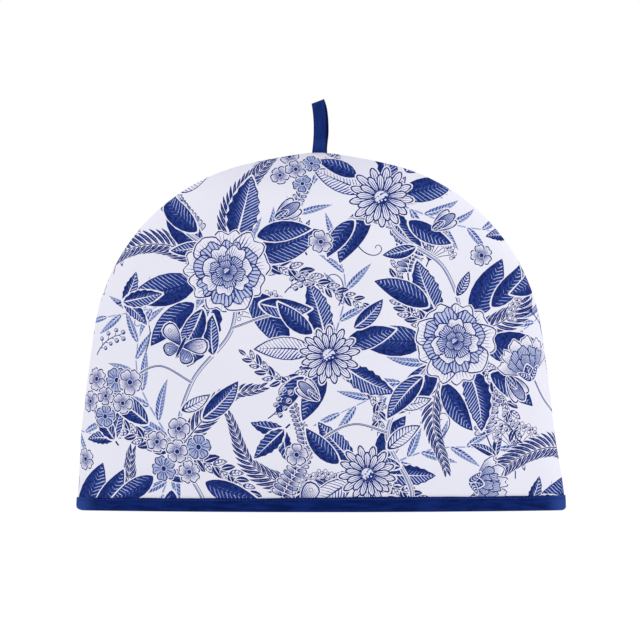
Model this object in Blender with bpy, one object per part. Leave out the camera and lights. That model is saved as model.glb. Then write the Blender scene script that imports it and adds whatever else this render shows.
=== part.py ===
"""Tea cosy: two padded, printed cotton panels joined along an arched seam, a
navy tape folded round the hem, and a loop of the same tape at the crown.

It stands open on its hem, ready to go over a teapot. Metres, +Z up, the front
facing -Y, the origin under the middle of the hem.
"""

import math

import bmesh
import bpy
from mathutils import Vector

MM = 0.001

# --- Overall size ------------------------------------------------------------
WIDTH = 355.0 * MM  # across the hem, over the binding
HEIGHT = 259.3 * MM  # from the table to the seam at the crown
BULGE = 54.0 * MM  # how far each panel stands out at the middle of the hem
LEAN = -2.3 * MM  # the crown sits this far to one side of the hem
LEAN_END = 60.0 * MM  # the lean is complete above this height

# --- Arched seam: tangent arcs, from the crown's middle down each side --------
# radius in mm, and the heading in degrees at which the next arc starts
ARCS = (
    (60.0, 7.3),  # cap under the loop
    (426.0, 13.5),  # slope of the crown
    (144.2, 81.8),  # shoulder
    (2400.0, 90.0),  # side, down to the hem
)

# --- Padded wall -------------------------------------------------------------
PAD = 8.5 * MM  # wadding and cloth over the bulge of the inner face
PAD_ROLL = 14.0 * MM  # the wall reaches its full thickness this far from the seam
SEAM_BAND = 6.0 * MM  # width of the joined edges, where the inside starts
HEM_PAD = 6.2 * MM  # wadding and cloth at the hem, squeezed by the binding
HEM_INNER_TUCK = 1.0 * MM  # how far the inner face is squeezed out there
HEM_TUCK_RUN = 12.0 * MM  # the tuck grows over this distance from the seam
HEM_SQUEEZE_TOP = 34.0 * MM  # the squeeze fades out at this height
WAVE = 0.9 * MM  # soft hollows in the wadding
WAVE_START = 6.0 * MM  # from the seam
WAVE_RUN = 40.0 * MM  # over which they grow
WAVE_RUN_UP = 55.0 * MM  # and the same above the hem

# --- Tape ----------------------------------------------------------------
TAPE = 1.0 * MM  # binding tape, one folded layer
TAPE_SOFT = 0.35 * MM  # rounding of its edges
GAP = 0.3 * MM  # room between neighbouring pieces
BINDING_HEIGHT = 9.5 * MM  # of the inner edge, and of the outer one at its left
BINDING_RISE = 1.4 * MM  # the outer edge climbs this much from left to right
BINDING_RISE_FROM = -130.0 * MM
BINDING_RISE_TO = 70.0 * MM
BINDING_EDGE = 0.9 * MM  # rounding along the fold at the foot
BINDING_INNER_END = 160.0 * MM  # the inner edge turns this far from the middle
BINDING_TURN_POWER = 40.0  # how tightly it turns there

# --- Loop ----------------------------------------------------------------
LOOP_WIDTH = 9.9 * MM
LOOP_CURL = 0.08  # how much narrower the tape looks where it curls lengthwise
LOOP_TAPE = 1.2 * MM
LOOP_HEIGHT = 37.1 * MM  # of the fold's middle above the crown
LOOP_FOOT = 9.0 * MM  # below the crown, where the ends stop
LOOP_POCKET = 15.0 * MM  # depth of the slot in the joined edges for the ends
LOOP_OPEN = 4.5 * MM  # half the distance between the strands' middles
LOOP_X = -1.45 * MM
LOOP_TILT = math.radians(20.5)  # of the fold
LOOP_BOW = 0.74 * MM  # to the right, halfway up
LOOP_LEAN = 0.8 * MM  # to the left, at the fold
LOOP_SHIFT_FOOT = 0.9 * MM  # of the rear strand to the right of the front one
LOOP_SHIFT_TOP = 1.75 * MM
LOOP_SEAM_TOP = 1.5 * MM  # above the crown, where the strands start to part
LOOP_FOOT_PART = 0.2  # of each half of the path that lies below there
# shares of the free height at which
LOOP_OPENED = 0.55  # the strands stand fully apart
LOOP_FOLD_FROM = 0.62  # they start to close over the fold
LOOP_TILT_FROM = 0.4  # the tilt starts and the rear strand's shift is complete

# --- Mesh ----------------------------------------------------------------
PANEL_EDGE_STEPS = (0.0, 1.0, 3.4, 7.4, 13.0, 21.0)  # mm in from the seam
PANEL_COLUMNS = 14  # between the last of those steps on each side
PANEL_ROWS = 9
PANEL_HEM_STEPS = (0.0, 4.2, 9.2, 12.4, 17.5, 25.0, 35.0)  # mm above the hem's edge
SHOULDER_CORNER = math.radians(47.0)  # heading of the panel grid's top corners
RING_STATIONS = 104
LOOP_STATIONS = 44


def smooth(value):
    """0 below 0, 1 above 1 and an S-curve between."""
    t = min(max(value, 0.0), 1.0)
    return t * t * (3.0 - 2.0 * t)


class Arch:
    """Half of the arched outline, inset from the seam."""

    def __init__(self, inset=0.0):
        self.top = HEIGHT - inset
        self.hem_half = WIDTH / 2 - TAPE - GAP - inset
        self.radii = [radius * MM - inset for radius, _ in ARCS]
        self.ends = [math.radians(degrees) for _, degrees in ARCS]
        centre = Vector((0.0, self.top - self.radii[0]))
        self.centres = [centre]
        for i, end in enumerate(self.ends[:-1]):
            centre = centre + (self.radii[i] - self.radii[i + 1]) * self.heading(end)
            self.centres.append(centre)

    @staticmethod
    def heading(angle):
        return Vector((math.sin(angle), math.cos(angle)))

    def point(self, angle):
        """The outline where its heading is this far from level."""
        i = sum(angle >= end for end in self.ends[:-1])
        x, z = self.centres[i] + self.radii[i] * self.heading(angle)
        return min(x, self.hem_half), z

    def half_width(self, z):
        if z >= self.top:
            return 0.0
        for i in reversed(range(len(ARCS))):
            angle = math.acos(min((z - self.centres[i].y) / self.radii[i], 1.0))
            if i == 0 or angle >= self.ends[i - 1]:
                return self.point(angle)[0]

    def distance(self, x, z):
        """How far a point is inside the outline."""
        place, nearest = Vector((abs(x), z)), 0
        for i, end in enumerate(self.ends[:-1]):
            off = place - self.centres[i + 1]
            if math.atan2(off.x, off.y) >= end:
                nearest = i + 1
        reach = self.radii[nearest] - (place - self.centres[nearest]).length
        return max(min(reach, self.hem_half - place.x), 0.0)


OUTER = Arch()
INNER = Arch(SEAM_BAND)
HEM_Z = TAPE + GAP  # the cloth's edge, resting inside the binding's fold
SECTION_Z = BINDING_HEIGHT + BINDING_RISE  # below this the wall is straight


def lean(z):
    return LEAN * smooth((z - SECTION_Z) / (LEAN_END - SECTION_Z))


def bulge(arch, x, z):
    half = max(arch.half_width(z), 1e-6)
    across = min(abs(x) / half, 1.0)
    up = z / arch.top
    return BULGE * (1.0 - up * up) * (1.0 - across * across)


def squeeze(z):
    """1 under the binding, fading to 0 above it."""
    return 1.0 - smooth((z - SECTION_Z) / (HEM_SQUEEZE_TOP - SECTION_Z))


def waves(x, z, inside):
    """Soft hollows that fade out toward the seam and the hem."""
    fade = smooth((inside - WAVE_START) / WAVE_RUN)
    fade *= smooth((z - SECTION_Z) / WAVE_RUN_UP)
    u, v = x / WIDTH, z / HEIGHT
    shape = (
        math.sin(7.1 * u + 3.6 * v + 0.6) * math.cos(5.2 * v - 1.9 * u)
        + 0.6 * math.sin(11.0 * u - 6.3 * v + 2.1)
        + 0.35 * math.cos(15.0 * v + 4.0 * u)
    )
    return WAVE * fade * shape / 1.6


def outer_depth(x, z):
    """Distance of the outer face from the seam's plane."""
    z = max(z, SECTION_Z)
    inside = OUTER.distance(x, z)
    roll = min(inside / PAD_ROLL, 1.0)
    pad = PAD + (HEM_PAD - PAD) * squeeze(z)
    pad *= math.sqrt(max(1.0 - (1.0 - roll) ** 2, 0.0))
    return GAP / 2 + bulge(OUTER, x, z) + pad + waves(x, z, inside)


def inner_depth(x, z):
    z = max(z, SECTION_Z)
    inside = INNER.distance(x, z)
    tuck = HEM_INNER_TUCK * squeeze(z) * smooth(inside / HEM_TUCK_RUN)
    return GAP / 2 + bulge(INNER, x, z) + tuck + 0.5 * waves(x, z, inside)


def spread(first, last, middle):
    """Positions from 0 to 1: fixed steps at each end and even ones between."""
    low, high = first[-1], 1.0 - last[-1]
    even = [low + (high - low) * k / (middle + 1) for k in range(1, middle + 1)]
    return list(first) + even + [1.0 - s for s in reversed(last)]


def arch_patch(arch, u, v):
    """A point of the arch's area, for a grid whose sides follow its outline."""
    corner_x, corner_z = arch.point(SHOULDER_CORNER)
    across = 2.0 * u - 1.0
    side_z = HEM_Z + (corner_z - HEM_Z) * v
    side_x = arch.half_width(max(side_z, SECTION_Z)) * across
    top_x, top_z = arch.point(abs(SHOULDER_CORNER * across))
    # The crown's curve is added in as the rows near it.
    x = side_x + v * (math.copysign(top_x, across) - corner_x * across)
    z = side_z + v * (top_z - corner_z)
    return x, z


def panel_face(bm, arch, depth):
    """One face of a panel, as a grid laid over the arch and then raised."""
    edge = [s * MM / WIDTH for s in PANEL_EDGE_STEPS]
    tall = arch.point(SHOULDER_CORNER)[1] - HEM_Z
    hem = [s * MM / tall for s in PANEL_HEM_STEPS]
    crown = [s * MM / tall for s in PANEL_EDGE_STEPS]
    across, up = spread(edge, edge, PANEL_COLUMNS), spread(hem, crown, PANEL_ROWS)
    made = bmesh.ops.create_grid(
        bm, x_segments=len(across) - 1, y_segments=len(up) - 1, size=0.5
    )["verts"]
    for vertex in made:
        i = round((vertex.co.x + 0.5) * (len(across) - 1))
        j = round((vertex.co.y + 0.5) * (len(up) - 1))
        x, z = arch_patch(arch, across[i], up[j])
        on_seam = i in (0, len(across) - 1) or j == len(up) - 1
        y = GAP / 2 if on_seam else depth(x, z)
        vertex.co = (x + lean(z), -y, z)
    return made


def finish_mesh(bm, name, material, smooth_angle):
    bmesh.ops.recalc_face_normals(bm, faces=bm.faces)
    mesh = bpy.data.meshes.new(name)
    bm.to_mesh(mesh)
    bm.free()
    mesh.materials.append(material)
    mesh.shade_smooth()
    mesh.set_sharp_from_angle(angle=smooth_angle)
    obj = bpy.data.objects.new(name, mesh)
    return obj


def build_panel(material):
    """The front panel: outer and inner face joined round the edge."""
    bm = bmesh.new()
    panel_face(bm, OUTER, outer_depth)
    panel_face(bm, INNER, inner_depth)
    rim = [edge for edge in bm.edges if edge.is_boundary]
    bmesh.ops.bridge_loops(bm, edges=rim)
    bmesh.ops.triangulate(bm, faces=bm.faces, quad_method="BEAUTY")
    return finish_mesh(bm, "front_panel", material, math.radians(50))


def mirrored(obj, name):
    """The same piece turned to face the other way."""
    mesh = obj.data.copy()
    mesh.name = name
    bm = bmesh.new()
    bm.from_mesh(mesh)
    bmesh.ops.scale(bm, vec=(1.0, -1.0, 1.0), verts=bm.verts)
    bmesh.ops.reverse_faces(bm, faces=bm.faces)
    bm.to_mesh(mesh)
    bm.free()
    return bpy.data.objects.new(name, mesh)


def offset(points, distance):
    """A closed plan curve moved outward, or inward where negative."""
    moved = []
    for k, point in enumerate(points):
        along = (points[(k + 1) % len(points)] - points[k - 1]).normalized()
        moved.append(point + distance * Vector((along.y, -along.x)))
    return moved


def hem_plan():
    """Plan curves, anticlockwise: the panels' outer face and the binding's
    inner leaf, which turns short of the side seams."""
    outer, inner = [], []
    for k in range(RING_STATIONS):
        turn = 2.0 * math.pi * k / RING_STATIONS
        side = -1.0 if math.sin(turn) < 0.0 else 1.0
        x = OUTER.hem_half * math.cos(turn)
        y = 0.0
        if abs(math.sin(turn)) > 1e-9:
            y = outer_depth(x, SECTION_Z)
        outer.append(Vector((x, side * y)))
        x = BINDING_INNER_END * math.cos(turn)
        turned = 1.0 - abs(math.cos(turn)) ** BINDING_TURN_POWER
        y = (inner_depth(x, SECTION_Z) - GAP - GAP / 2) * math.sqrt(max(turned, 0.0))
        inner.append(Vector((x, side * y)))
    return outer, inner


def edge_rise(x):
    """How far the binding's outer edge has climbed at a place along the hem."""
    run = BINDING_RISE_TO - BINDING_RISE_FROM
    return BINDING_RISE * smooth((x - BINDING_RISE_FROM) / run)


def build_binding(material):
    """Tape folded up round the hem, as one ring with a flat foot."""
    outer, inner = hem_plan()
    leaves = {
        "outside": offset(outer, GAP + TAPE),
        "outside_back": offset(outer, GAP),
        "inside_back": inner,
        "inside": offset(inner, -TAPE),
    }
    top, soft, half = BINDING_HEIGHT, TAPE_SOFT, TAPE / 2
    chamfer = BINDING_EDGE * (1.0 - math.sqrt(0.5))
    # leaf, height, how far toward the middle of the wall, share of the rise
    section = [
        ("outside", BINDING_EDGE, 0.0, 0.0),
        ("outside", top * 0.5, 0.0, 0.5),
        ("outside", top - soft, 0.0, 1.0),
        ("outside", top, half * 0.7, 1.0),
        ("outside_back", top - soft * 0.3, 0.0, 1.0),
        ("outside_back", TAPE, 0.0, 0.0),
        ("inside_back", TAPE, 0.0, 0.0),
        ("inside_back", top - soft * 0.3, 0.0, 0.0),
        ("inside", top, -half * 0.7, 0.0),
        ("inside", top - soft, 0.0, 0.0),
        ("inside", top * 0.5, 0.0, 0.0),
        ("inside", BINDING_EDGE, 0.0, 0.0),
        ("inside", chamfer, -chamfer, 0.0),
        ("inside", 0.0, -BINDING_EDGE, 0.0),
        ("outside", 0.0, BINDING_EDGE, 0.0),
        ("outside", chamfer, chamfer, 0.0),
    ]
    bm = bmesh.new()
    made = bmesh.ops.create_grid(
        bm, x_segments=RING_STATIONS, y_segments=len(section), size=0.5
    )["verts"]
    for vertex in made:
        k = round((vertex.co.x + 0.5) * RING_STATIONS) % RING_STATIONS
        j = round((vertex.co.y + 0.5) * len(section)) % len(section)
        leaf, z, inward, risen = section[j]
        across = (leaves["inside"][k] - leaves["outside"][k]).normalized()
        x, y = leaves[leaf][k] + across * inward
        vertex.co = (x, y, z + risen * edge_rise(x))
    bmesh.ops.remove_doubles(bm, verts=bm.verts, dist=1e-6)
    return finish_mesh(bm, "hem_binding", material, math.radians(40))


def loop_centre(t):
    """The loop's middle line: up the front strand, over the fold and down the
    rear one, for t from 0 to 1. Also the direction across the tape and the
    tape's width there."""
    closed = GAP / 2 + LOOP_TAPE / 2
    foot = HEIGHT - LOOP_FOOT
    parting = HEIGHT + LOOP_SEAM_TOP
    peak = HEIGHT + LOOP_HEIGHT - LOOP_TAPE / 2
    side = -1.0 if t < 0.5 else 1.0
    s = 1.0 - abs(2.0 * t - 1.0)  # 0 at both ends and 1 at the fold
    if s < LOOP_FOOT_PART:
        z = foot + (parting - foot) * s / LOOP_FOOT_PART
    else:
        turn = (s - LOOP_FOOT_PART) / (1.0 - LOOP_FOOT_PART)
        z = parting + (peak - parting) * math.sin(turn * math.pi / 2)
    rise = min(max((z - parting) / (peak - parting), 0.0), 1.0)
    opened = closed + (LOOP_OPEN - closed) * smooth(rise / LOOP_OPENED)
    over_fold = max((rise - LOOP_FOLD_FROM) / (1.0 - LOOP_FOLD_FROM), 0.0)
    y = opened * math.sqrt(1.0 - min(over_fold, 1.0) ** 2)
    bow = LOOP_BOW * math.sin(math.pi * rise) - LOOP_LEAN * rise**3
    if side > 0.0:
        growth = smooth(rise / LOOP_TILT_FROM)
        shift = LOOP_SHIFT_FOOT + (LOOP_SHIFT_TOP - LOOP_SHIFT_FOOT) * growth
        bow += shift * (1.0 - rise**8)
    tilt = LOOP_TILT * smooth((rise - LOOP_TILT_FROM) / (1.0 - LOOP_TILT_FROM))
    across = Vector((math.cos(tilt), 0.0, math.sin(tilt)))
    width = LOOP_WIDTH * (1.0 - LOOP_CURL * math.sin(math.pi * rise))
    return Vector((LOOP_X + bow, side * y, z)), across, width


def build_loop(material):
    """A length of tape folded over, its two ends sewn into the crown."""
    half_t = LOOP_TAPE / 2
    # side of the tape, how far in from that edge, how far through it
    section = [
        (-1.0, 0.0, -half_t + TAPE_SOFT),
        (-1.0, TAPE_SOFT, -half_t),
        (0.0, 0.0, -half_t),
        (1.0, TAPE_SOFT, -half_t),
        (1.0, 0.0, -half_t + TAPE_SOFT),
        (1.0, 0.0, half_t - TAPE_SOFT),
        (1.0, TAPE_SOFT, half_t),
        (0.0, 0.0, half_t),
        (-1.0, TAPE_SOFT, half_t),
        (-1.0, 0.0, half_t - TAPE_SOFT),
    ]
    path = [loop_centre(k / LOOP_STATIONS) for k in range(LOOP_STATIONS + 1)]
    bm = bmesh.new()
    rings = []
    for k, (centre, across, width) in enumerate(path):
        before = path[max(k - 1, 0)][0]
        after = path[min(k + 1, LOOP_STATIONS)][0]
        along = (after - before).normalized()
        through = across.cross(along).normalized()
        rings.append(
            [
                bm.verts.new(centre + side * (width / 2 - inward) * across + high * through)
                for side, inward, high in section
            ]
        )
    count = len(section)
    for low, high in zip(rings, rings[1:]):
        for j in range(count):
            n = (j + 1) % count
            bm.faces.new((low[j], low[n], high[n], high[j]))
    bm.faces.new(rings[0])
    bm.faces.new(rings[-1])
    return finish_mesh(bm, "hanging_loop", material, math.radians(40))


def cut_pocket(panels, cutters):
    """The slot in the joined edges at the crown that the loop's ends go into."""
    bm = bmesh.new()
    bmesh.ops.create_cube(bm, size=1.0)
    depth = LOOP_TAPE + GAP / 2 + GAP
    width = LOOP_WIDTH + LOOP_SHIFT_FOOT + 2 * GAP
    middle = LOOP_X + LOOP_SHIFT_FOOT / 2
    bmesh.ops.scale(bm, vec=(width, 2 * depth, 2 * LOOP_POCKET), verts=bm.verts)
    bmesh.ops.translate(bm, vec=(middle, 0.0, HEIGHT), verts=bm.verts)
    mesh = bpy.data.meshes.new("loop_pocket")
    bm.to_mesh(mesh)
    bm.free()
    cutter = bpy.data.objects.new("loop_pocket", mesh)
    cutter.hide_render = True
    cutter.display_type = "WIRE"
    cutters.objects.link(cutter)
    for panel in panels:
        cut = panel.modifiers.new("Loop pocket", "BOOLEAN")
        cut.operation = "DIFFERENCE"
        cut.solver = "EXACT"
        cut.object = cutter


def fabric(name, colour, roughness, sheen):
    material = bpy.data.materials.new(name)
    material.use_nodes = True
    shader = material.node_tree.nodes["Principled BSDF"]
    shader.inputs["Base Color"].default_value = (*colour, 1.0)
    shader.inputs["Roughness"].default_value = roughness
    shader.inputs["Sheen Weight"].default_value = sheen
    shader.inputs["Specular IOR Level"].default_value = 0.25
    material.diffuse_color = (*colour, 1.0)
    return material


def main():
    for obj in list(bpy.data.objects):
        bpy.data.objects.remove(obj)
    scene = bpy.context.scene
    whole = bpy.data.collections.new("tea_cosy")
    cutters = bpy.data.collections.new("tea_cosy_cutters")
    scene.collection.children.link(whole)
    scene.collection.children.link(cutters)
    cutters.hide_render = True

    cotton = fabric("printed_cotton", (0.42, 0.45, 0.58), 0.85, 0.15)
    tape = fabric("navy_tape", (0.012, 0.028, 0.15), 0.8, 0.2)

    front = build_panel(cotton)
    back = mirrored(front, "back_panel")
    cut_pocket((front, back), cutters)
    for obj in (front, back, build_binding(tape), build_loop(tape)):
        whole.objects.link(obj)


main()
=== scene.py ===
import math

import bmesh
import bpy
import numpy as np
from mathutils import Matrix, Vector
from mathutils.bvhtree import BVHTree
from mathutils.geometry import delaunay_2d_cdt


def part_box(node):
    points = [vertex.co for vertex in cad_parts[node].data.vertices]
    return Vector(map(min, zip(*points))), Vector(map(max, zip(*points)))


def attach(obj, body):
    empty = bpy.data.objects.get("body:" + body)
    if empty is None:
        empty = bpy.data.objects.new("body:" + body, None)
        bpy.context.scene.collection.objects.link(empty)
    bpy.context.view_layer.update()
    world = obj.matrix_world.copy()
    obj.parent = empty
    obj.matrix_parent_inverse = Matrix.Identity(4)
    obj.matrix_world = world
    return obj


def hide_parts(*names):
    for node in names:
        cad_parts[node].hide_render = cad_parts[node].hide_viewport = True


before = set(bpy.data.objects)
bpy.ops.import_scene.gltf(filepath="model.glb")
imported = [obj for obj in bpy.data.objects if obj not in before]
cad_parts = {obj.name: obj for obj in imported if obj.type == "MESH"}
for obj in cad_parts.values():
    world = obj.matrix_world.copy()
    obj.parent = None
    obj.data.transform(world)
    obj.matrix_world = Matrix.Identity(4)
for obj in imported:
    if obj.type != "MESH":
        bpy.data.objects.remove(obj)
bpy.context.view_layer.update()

# Sizes are in millimetres, as the cloth is drawn and cut, and become metres
# only when a mesh is made. Materials and lights are in metres.
MM = 0.001


def add_object(name, data):
    made = bpy.data.objects.new(name, data)
    bpy.context.scene.collection.objects.link(made)
    return made


# --- Camera: level, far off, square to the front ------------------------------
SEEN_WIDTH = 463.9  # across the picture, at the seam
CAMERA_DISTANCE = 5500.0
CAMERA_X, CAMERA_HEIGHT = -0.76, 137.8
SENSOR = 36.0
CLIP_END = 50.0  # metres

camera_data = bpy.data.cameras.new("camera")
camera_data.sensor_width = SENSOR
camera_data.lens = SENSOR * CAMERA_DISTANCE / SEEN_WIDTH
camera_data.clip_end = CLIP_END
camera = add_object("camera", camera_data)
camera.location = (CAMERA_X * MM, -CAMERA_DISTANCE * MM, CAMERA_HEIGHT * MM)
camera.rotation_euler = (math.pi / 2, 0.0, 0.0)
bpy.context.scene.camera = camera

# --- Sizes of the cosy, which are the solids' own -----------------------------
HEM_HIGH = np.array(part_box("hem_binding")[1]) / MM

TAPE, GAP = 1.0, 0.3
HALF_HEM = HEM_HIGH[0] - TAPE - GAP  # the cloth inside the binding
HEIGHT = 259.3  # of the arch, to the seam at the crown
BULGE, PAD, PAD_ROLL = 54.0, 8.5, 14.0
SEAM_BAND, SEAM_GAP = 6.0, 0.08
LEAN, LEAN_END = -2.3, 60.0
# The outline's arcs from the crown down: radius, and where the next one starts.
RADII = np.array([60.0, 426.0, 144.2, 2400.0])
ENDS = np.radians([7.3, 13.5, 81.8])
BINDING_HEIGHT, BINDING_RISE = 9.5, 1.4
RISE_FROM, RISE_TO = -130.0, 70.0
HEM_PAD, HEM_TUCK, TUCK_RUN, HEM_FADE = 6.2, 1.0, 12.0, 34.0
WAVE, WAVE_START, WAVE_RUN, WAVE_RUN_UP = 0.9, 6.0, 40.0, 55.0
HEM_EDGE = TAPE + GAP
STRAIGHT_TOP = BINDING_HEIGHT + BINDING_RISE  # below this the wall is upright
PUCKER, PUCKER_BAND = 0.42, 11.0  # depth of the gathers at the seam, and their length
EASE, EASE_TOP = 0.16, 39.0  # height of the fullness over the binding, and its end


def paired(x, y):
    """Two arrays as the coordinates of points."""
    return np.stack([x, y], axis=-1)


def smooth(value):
    """0 to 1, level at both ends."""
    t = np.clip(value, 0.0, 1.0)
    return t * t * (3.0 - 2.0 * t)


def edge_rise(x):
    """How far the binding's outer edge has climbed from left to right."""
    return BINDING_RISE * smooth((x - RISE_FROM) / (RISE_TO - RISE_FROM))


def lean(z):
    """How far the cloth has shifted sideways at a height."""
    return LEAN * smooth((z - STRAIGHT_TOP) / (LEAN_END - STRAIGHT_TOP))


class Arch:
    """Half of the arched outline, inset from the seam, as tangent arcs."""

    def __init__(self, inset=0.0):
        self.top, self.hem_half = HEIGHT - inset, HALF_HEM - inset
        self.radii = RADII - inset
        self.centres = [np.array([0.0, HEIGHT - RADII[0]])]
        for first, second, end in zip(RADII, RADII[1:], ENDS):
            turn = np.array([math.sin(end), math.cos(end)])
            self.centres.append(self.centres[-1] + (first - second) * turn)
        self.centres = np.array(self.centres)

    def arc_of(self, x, z):
        """Which arc is nearest each point."""
        nearest = np.zeros(np.broadcast(x, z).shape, int)
        for k, end in enumerate(ENDS):
            cx, cz = self.centres[k + 1]
            nearest[np.arctan2(np.abs(x) - cx, z - cz) >= end] = k + 1
        return nearest

    def half_width(self, z):
        z = np.minimum(np.asarray(z, float), self.top)
        half = np.zeros(z.shape)
        for k, (radius, (cx, cz)) in enumerate(zip(self.radii, self.centres)):
            reach = cx + np.sqrt(np.maximum(radius**2 - (z - cz) ** 2, 0.0))
            top = self.top if k == 0 else cz + radius * math.cos(ENDS[k - 1])
            half = np.where(z <= top, reach, half)
        return np.minimum(half, self.hem_half)

    def distance(self, x, z):
        """How far each point is inside the outline."""
        arc = self.arc_of(x, z)
        centre = self.centres[arc]
        reach = np.hypot(np.abs(x) - centre[..., 0], z - centre[..., 1])
        inside = np.minimum(self.radii[arc] - reach, self.hem_half - np.abs(x))
        return np.maximum(inside, 0.0)

    def inset_point(self, x, z, by):
        """Points on the outline moved inward."""
        centre = self.centres[self.arc_of(x, z)]
        off = paired(np.abs(x), z) - centre
        moved = centre + off * (1.0 - by / np.linalg.norm(off, axis=-1))[..., None]
        upright = np.abs(x) > self.hem_half - 1e-4
        new_x = np.where(upright, self.hem_half - by, moved[..., 0])
        return np.sign(x) * new_x, np.where(upright, z, moved[..., 1])


OUTER, INNER = Arch(), Arch(SEAM_BAND)


def bulge(arch, x, z):
    across = np.minimum(np.abs(x) / np.maximum(arch.half_width(z), 1e-6), 1.0)
    return BULGE * (1.0 - (z / arch.top) ** 2) * (1.0 - across**2)


def squeeze(z):
    """1 under the binding, fading to 0 above it."""
    return 1.0 - smooth((z - STRAIGHT_TOP) / (HEM_FADE - STRAIGHT_TOP))


def waves(x, z, inside):
    """Soft hollows in the wadding, as in the solid."""
    fade = smooth((inside - WAVE_START) / WAVE_RUN) * smooth((z - STRAIGHT_TOP) / WAVE_RUN_UP)
    u, v = x / (2 * HEM_HIGH[0]), z / HEIGHT
    shape = (
        np.sin(7.1 * u + 3.6 * v + 0.6) * np.cos(5.2 * v - 1.9 * u)
        + 0.6 * np.sin(11.0 * u - 6.3 * v + 2.1)
        + 0.35 * np.cos(15.0 * v + 4.0 * u)
    )
    return WAVE * fade * shape / 1.6


def outer_depth(x, z):
    """How far the outer face stands in front of the seam."""
    z = np.maximum(z, STRAIGHT_TOP)
    inside = OUTER.distance(x, z)
    roll = np.minimum(inside / PAD_ROLL, 1.0)
    pad = PAD + (HEM_PAD - PAD) * squeeze(z)
    pad = pad * np.sqrt(np.maximum(1.0 - (1.0 - roll) ** 2, 0.0))
    return SEAM_GAP + bulge(OUTER, x, z) + pad + waves(x, z, inside)


def inner_depth(x, z):
    z = np.maximum(z, STRAIGHT_TOP)
    inside = INNER.distance(x, z)
    tuck = HEM_TUCK * squeeze(z) * smooth(inside / TUCK_RUN)
    return SEAM_GAP + bulge(INNER, x, z) + tuck + 0.5 * waves(x, z, inside)


def puckers(x, z):
    """Small gathers where the stitches of the arched seam pull the cloth in."""
    inside = OUTER.distance(x, z)
    along = np.arctan2(x, z - 70.0) * 165.0  # roughly the way along the seam
    pull = (
        0.5
        + 0.32 * np.sin(along / 1.9 + 1.3 * np.sin(along / 17.0))
        + 0.18 * np.sin(along / 3.3 + 2.0)
    )
    band = smooth(inside / 2.2) * (1.0 - smooth((inside - 3.0) / PUCKER_BAND))
    return -PUCKER * pull * band * smooth((z - STRAIGHT_TOP) / 14.0)


def ease(x, z):
    """Faint fullness over the binding, where the cloth is drawn in."""
    gather = np.sin(x / 6.1 + 1.7 * np.sin(x / 31.0)) + 0.6 * np.sin(x / 13.7 + 0.8)
    band = smooth((z - BINDING_HEIGHT) / 4.0) * (1.0 - smooth((z - 15.0) / (EASE_TOP - 15.0)))
    return EASE * gather * band * smooth(OUTER.distance(x, z) / 20.0)


def printed_depth(x, z):
    return outer_depth(x, z) + puckers(x, z) + ease(x, z)


def on_face(depth, x, z):
    """Points of the front panel's face over x and z."""
    return np.stack([x + lean(z), -depth(x, z), z], axis=-1)


def face_normals(depth, x, z, arch, sign):
    """Unit normals of a face, from differences that stay inside the arch."""
    step = 0.05
    room = np.maximum(arch.half_width(z) - 2 * step, 0.0)
    xm = np.clip(x, -room, room)
    zm = np.clip(z, HEM_EDGE, arch.top - 3 * step)
    dx = on_face(depth, xm + step, zm) - on_face(depth, xm - step, zm)
    dz = on_face(depth, xm, zm + step) - on_face(depth, xm, zm - step)
    normal = np.cross(dx, dz) * sign
    return normal / np.linalg.norm(normal, axis=-1)[..., None]


# --- Print: shapes on the flat cloth -----------------------------------------
# Each ink: lines (mm between veins, or the number of lines along a petal),
# slant of the veins (0 for lines along), ink at the base and the tip, more ink
# at the edge, more on one side, and the pale blue wash beneath.
BARE, SOLID = -1.0, 2.0
INKS = {
    "white": (1.0, 0.0, BARE, BARE, 0.0, 0.0, 0.0),
    "navy": (1.0, 0.0, SOLID, SOLID, 0.0, 0.0, 0.0),
    "wash": (1.0, 0.0, BARE, BARE, 0.0, 0.0, 0.85),
    "ghost": (1.0, 0.0, BARE, BARE, 0.0, 0.0, 1.0),
    "ghost_vein": (2.6, 0.9, 0.46, 0.24, 0.0, 0.2, 0.95),
    "leaf_dark": (2.6, 0.9, 0.92, 0.72, 0.24, 0.28, 0.3),
    "leaf_deep": (3.2, 0.9, 1.0, 0.84, 0.2, 0.26, 0.4),
    "leaf_shade": (2.2, 0.8, 0.7, 0.46, 0.2, 0.2, 0.1),
    "leaf_light": (2.6, 0.8, 0.36, 0.16, 0.1, 0.2, 0.0),
    "frond": (2.0, 0.0, 0.7, 1.0, 0.3, 0.1, 0.1),
    "petal": (11.0, 0.0, 1.2, -0.1, 0.14, 0.14, 0.0),
    "petal_deep": (9.0, 0.0, 1.15, 0.35, 0.1, 0.10, 0.3),
    "petal_blue": (8.0, 0.0, 1.0, 0.2, 0.1, 0.1, 0.55),
    "floret_blue": (4.0, 0.0, 0.8, 0.0, 0.0, 0.1, 0.8),
    "ray": (4.0, 0.0, 0.85, 0.05, 0.0, 0.15, 0.0),
    "ball": (3.0, 0.0, 0.5, 0.5, 0.0, 0.9, 0.2),
}


def heading(angle):
    """The way that an angle points."""
    return np.array([math.cos(angle), math.sin(angle)])


def turned_to(angle):
    """An angle as it is between -pi and pi."""
    return (angle + math.pi) % (2 * math.pi) - math.pi


def wobble(k, seed):
    """A number between -1 and 1 that looks random and is always the same."""
    return math.sin(12.9898 * k + 78.233 * seed + 0.7) * 0.5 + 0.5 * math.sin(4.1 * k + 9.7 * seed)


def ink_at(ink, u, v, s, c):
    """Screen phase, ink and wash for points along (u, s) and across (v, c)."""
    lines, slant, base, tip, edge, side, wash = INKS[ink]
    phase = (s - slant * np.abs(c)) / lines if slant else v * lines / 2.0
    ink_share = base + (tip - base) * u + edge * v * v + side * v
    return np.stack([phase, ink_share, np.full_like(u, wash)], axis=-1)


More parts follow.
